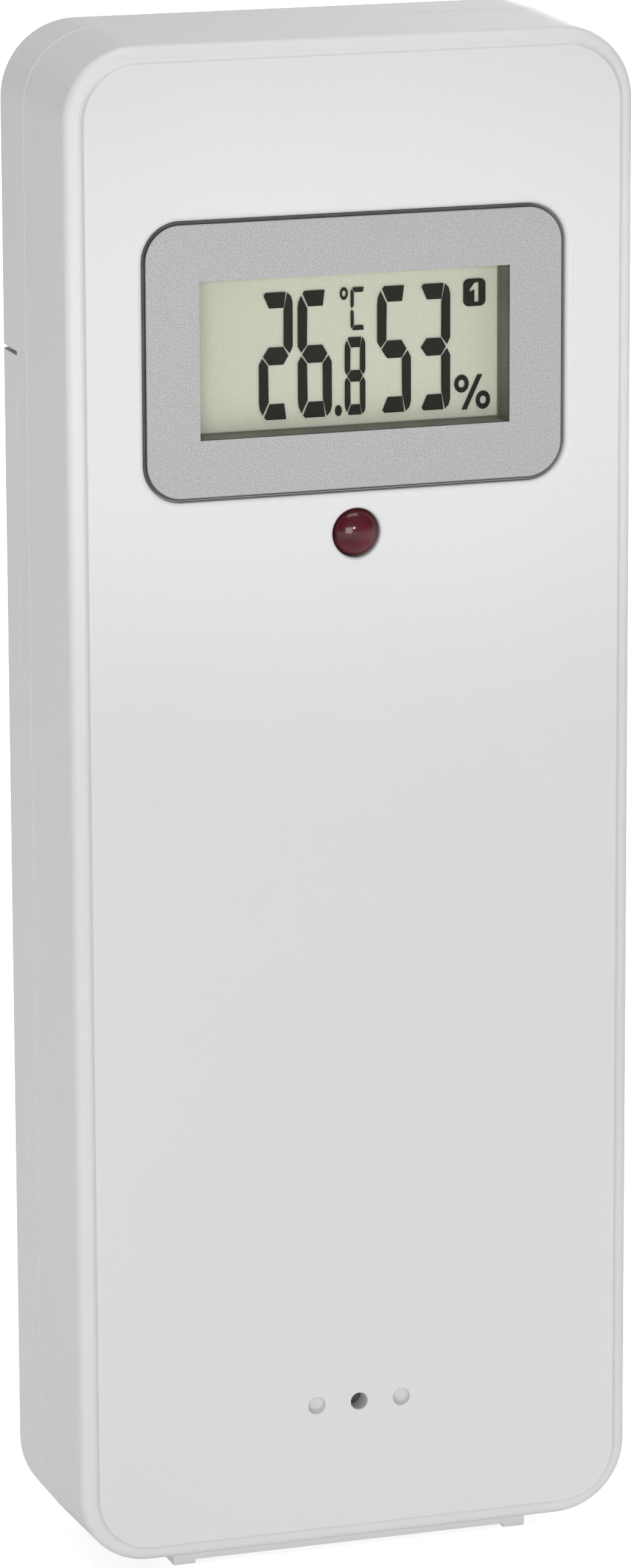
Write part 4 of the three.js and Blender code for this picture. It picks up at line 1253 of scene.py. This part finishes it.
def contact_piece(name):
    x, depth, height = box_mm(name)
    cell_depth = middle(box_mm("cell_left")[1])
    upward = name == "contact_link"
    plate_z = (height[0], height[0] + PLATE) if upward else (height[1] - PLATE, height[1])
    plate = block(f"{name}_plate", x, depth, plate_z, 0.08)
    parts = []
    left, right = middle(box_mm("cell_left")[0]), middle(box_mm("cell_right")[0])
    spring_at = {"contact_link": right, "contact_negative": left}.get(name)
    dimple_at = {"contact_link": left, "contact_positive": right}.get(name)
    face = plate_z[1] if upward else plate_z[0]
    way = 1 if upward else -1
    if spring_at is not None:
        parts.append(spring("spring", spring_at, cell_depth, face, way, height[1] - height[0] - PLATE))
    if dimple_at is not None:
        parts.append(button_dimple("dimple", dimple_at, cell_depth, face, way))
    dress(merge(f"{name}_plated", [plate, *parts]), STEEL, "casing", "steel", name)


def merge(name, pieces):
    """Puts finished pieces into one object."""
    shape = bmesh.new()
    for piece in pieces:
        shape.from_mesh(piece.data)
        bpy.data.objects.remove(piece)
    return soften(from_bmesh(name, shape))


def spring(name, x, depth, face, way, length):
    """A conical spring that stands on a plate."""
    steps = SPRING_TURNS * SPRING_STEPS
    rings = []
    for step in range(steps + 1):
        t = step / steps
        radius = SPRING_FOOT + (SPRING_TOP - SPRING_FOOT) * t
        angle = 2 * math.pi * SPRING_TURNS * t
        rise = SPRING_WIRE * 0.6 + (length - SPRING_WIRE * 1.6) * t
        ring = []
        for r, height in circle(SPRING_WIRE, radius, way * rise, WIRE_SIDES):
            ring.append(spot(x + r * math.cos(angle), depth + r * math.sin(angle), face + height))
        rings.append(ring)
    return skinned(name, rings, capped=True)


def button_dimple(name, x, depth, face, way):
    """The raised round spot that meets a cell's nub."""
    profile = [(2.1, -0.1), (2.1, 0.0), (1.9, 0.25), (1.6, 0.36), (1.2, 0.4)]
    standing = [(radius, face + way * rise) for radius, rise in profile]
    return upright(name, standing, x, depth, BORE_STEPS, capped=True)


# ---------------------------------------------------------------- inner CAD pieces that keep their shape

INNER_LOOKS = (
    (RUBBER, ("shell_gasket", "zebra_strip")),
    (FOAM, ("battery_seal", "vent_filter")),
    (STEEL, ("light_lead_plus", "light_lead_minus", "board_screw_left", "board_screw_right")),
    (STEEL, ("radio_can", "crystal_can", "channel_switch")),
    (BOARD, ("main_board", "radio_board")),
    (COPPER, ("antenna_coil",)),
    (BLACK, ("humidity_sensor", "controller_blob", "reservoir_capacitor")),
    (BLACK, ("transmit_switch", "unit_switch")),
)


def clad(node_name, material):
    """Gives a CAD node's own mesh a material."""
    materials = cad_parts[node_name].data.materials
    materials.clear()
    materials.append(material)


def inner_pieces():
    for material, names in INNER_LOOKS:
        for name in names:
            clad(name, material)


# ---------------------------------------------------------------- stage, light and camera


FLOOR_GLOW = [(0.4, (0.05, 0.05, 0.05)), (0.7, (0.8, 0.8, 0.8))]  # from straight above to a slant
FLOOR_RADIUS = 3
FLOOR_RISE = 0.6
FLOOR_STEPS = 10


def stage():
    """A pale round table that curves up at its far edge."""
    shape = bmesh.new()
    rings = []
    for angle in quarter(FLOOR_STEPS):
        radius = FLOOR_RADIUS + FLOOR_RISE * math.sin(angle)
        height = FLOOR_RISE * (1 - math.cos(angle))
        rings.append([shape.verts.new((x, y, height)) for x, y in circle(radius, 0, 0)])
    shape.faces.new(rings[0])
    for near, far in zip(rings, rings[1:]):
        for i in range(ROUND_STEPS):
            j = (i + 1) % ROUND_STEPS
            shape.faces.new((near[j], near[i], far[i], far[j]))
    floor = bpy.data.meshes.new("floor")
    shape.to_mesh(floor)
    shape.free()
    for polygon in floor.polygons:
        polygon.use_smooth = polygon.index > 0
    ground = object_of("floor", floor)
    material = new_material("pale_floor")
    principled = shader(material, Roughness=0.8, Emission_Strength=1.0)
    slant = node(material, "ShaderNodeLayerWeight").outputs["Facing"]
    shades = ramp(material, noise(material, 60, 2.0), [(0.3, (0.7, 0.7, 0.7)), (0.7, (0.74, 0.74, 0.74))])
    feed(material, principled, Emission_Color=ramp(material, slant, FLOOR_GLOW), Base_Color=shades)
    floor.materials.append(material)


def lamp_of(name, kind, power, place_at, aim):
    """A lamp of a given power in watts, at a place and turned to its aim."""
    lamp = bpy.data.lights.new(name, kind)
    lamp.energy = power
    lamp_object = object_of(name, lamp)
    lamp_object.location = place_at
    direction = Vector(aim) - Vector(place_at)
    lamp_object.rotation_euler = direction.to_track_quat("-Z", "Y").to_euler()
    return lamp_object


def area_light(name, place_at, aim, side, power):
    """A square softbox."""
    lamp = lamp_of(name, "AREA", power, place_at, aim).data
    lamp.shape = "SQUARE"
    lamp.size = side


POOL_ANGLE = 7.4  # degrees from the top to the bottom of the pool
POOL_STRETCH = 1.9  # how much wider than high the pool is
POOL_SOURCE = 0.01


def pool_light(place_at, aim, power):
    """A wide soft pool of light round the display."""
    pool = lamp_of("pool", "SPOT", power, place_at, aim)
    pool.data.spot_size = math.radians(POOL_ANGLE)
    pool.data.spot_blend = 1.0
    pool.data.shadow_soft_size = POOL_SOURCE
    pool.scale = (POOL_STRETCH, 1, 1)


SKY = [(0.0, (0.03, 0.03, 0.03)), (0.5, (0.43, 0.43, 0.43)), (1.0, (0.05, 0.05, 0.05))]  # left to right


def studio():
    world = bpy.data.worlds.new("studio")
    bpy.context.scene.world = world
    world.use_nodes = True
    background = world.node_tree.nodes["Background"]
    background.inputs["Strength"].default_value = 1
    around = node(world, "ShaderNodeTexCoord")
    across = node(world, "ShaderNodeSeparateXYZ")
    link(world, around.outputs["Generated"], across.inputs["Vector"])
    sideways = node(world, "ShaderNodeMapRange", From_Min=-1)
    link(world, across.outputs["X"], sideways.inputs["Value"])
    shades = ramp(world, sideways.outputs["Result"], SKY)
    link(world, shades, background.inputs["Color"])
    aim = (0, 0, 0.07)
    area_light("key", (-0.36, -0.97, 0.12), (0, 0, 0.05), 0.5, 5.6)
    pool_light((0, -0.5, 0.2), spot(0, 0, DISPLAY_Z), 1.8)
    area_light("overhead", (0, -0.1, 1.3), aim, 0.9, 9.1)
    area_light("behind", (0.6, 0.8, 0.35), aim, 0.5, 3.8)
    bpy.context.scene.view_settings.view_transform = "Standard"


CAMERA_AZIMUTH = math.radians(-18.26)
CAMERA_ELEVATION = math.radians(13.35)
CAMERA_ROLL = math.radians(-0.24)
CAMERA_DISTANCE = 572.6
CAMERA_TARGET = (-3.75, 0, 67.4)
CAMERA_LENS = 156.7
SENSOR = 36


def camera():
    data = bpy.data.cameras.new("view")
    data.sensor_fit = "VERTICAL"
    data.sensor_height = SENSOR
    data.lens = CAMERA_LENS
    data.clip_start = 0.01
    view = object_of("view", data)
    away = Vector((
        math.sin(CAMERA_AZIMUTH) * math.cos(CAMERA_ELEVATION),
        -math.cos(CAMERA_AZIMUTH) * math.cos(CAMERA_ELEVATION),
        math.sin(CAMERA_ELEVATION),
    ))
    target = spot(*CAMERA_TARGET)
    view.location = target + away * CAMERA_DISTANCE * MM
    view.rotation_euler = (-away).to_track_quat("-Z", "Y").to_euler()
    view.rotation_euler.rotate_axis("Z", CAMERA_ROLL)
    bpy.context.scene.camera = view


camera()
stage()
studio()
front_casing()
rear_casing()
sliding_cover()
display_panel()
display_frame()
lcd()
clad("display_lens", WINDOW)
status_light()
buttons()
channel_knob()
shell_screws()
cells()
contacts()
inner_pieces()

bpy.context.view_layer.update()
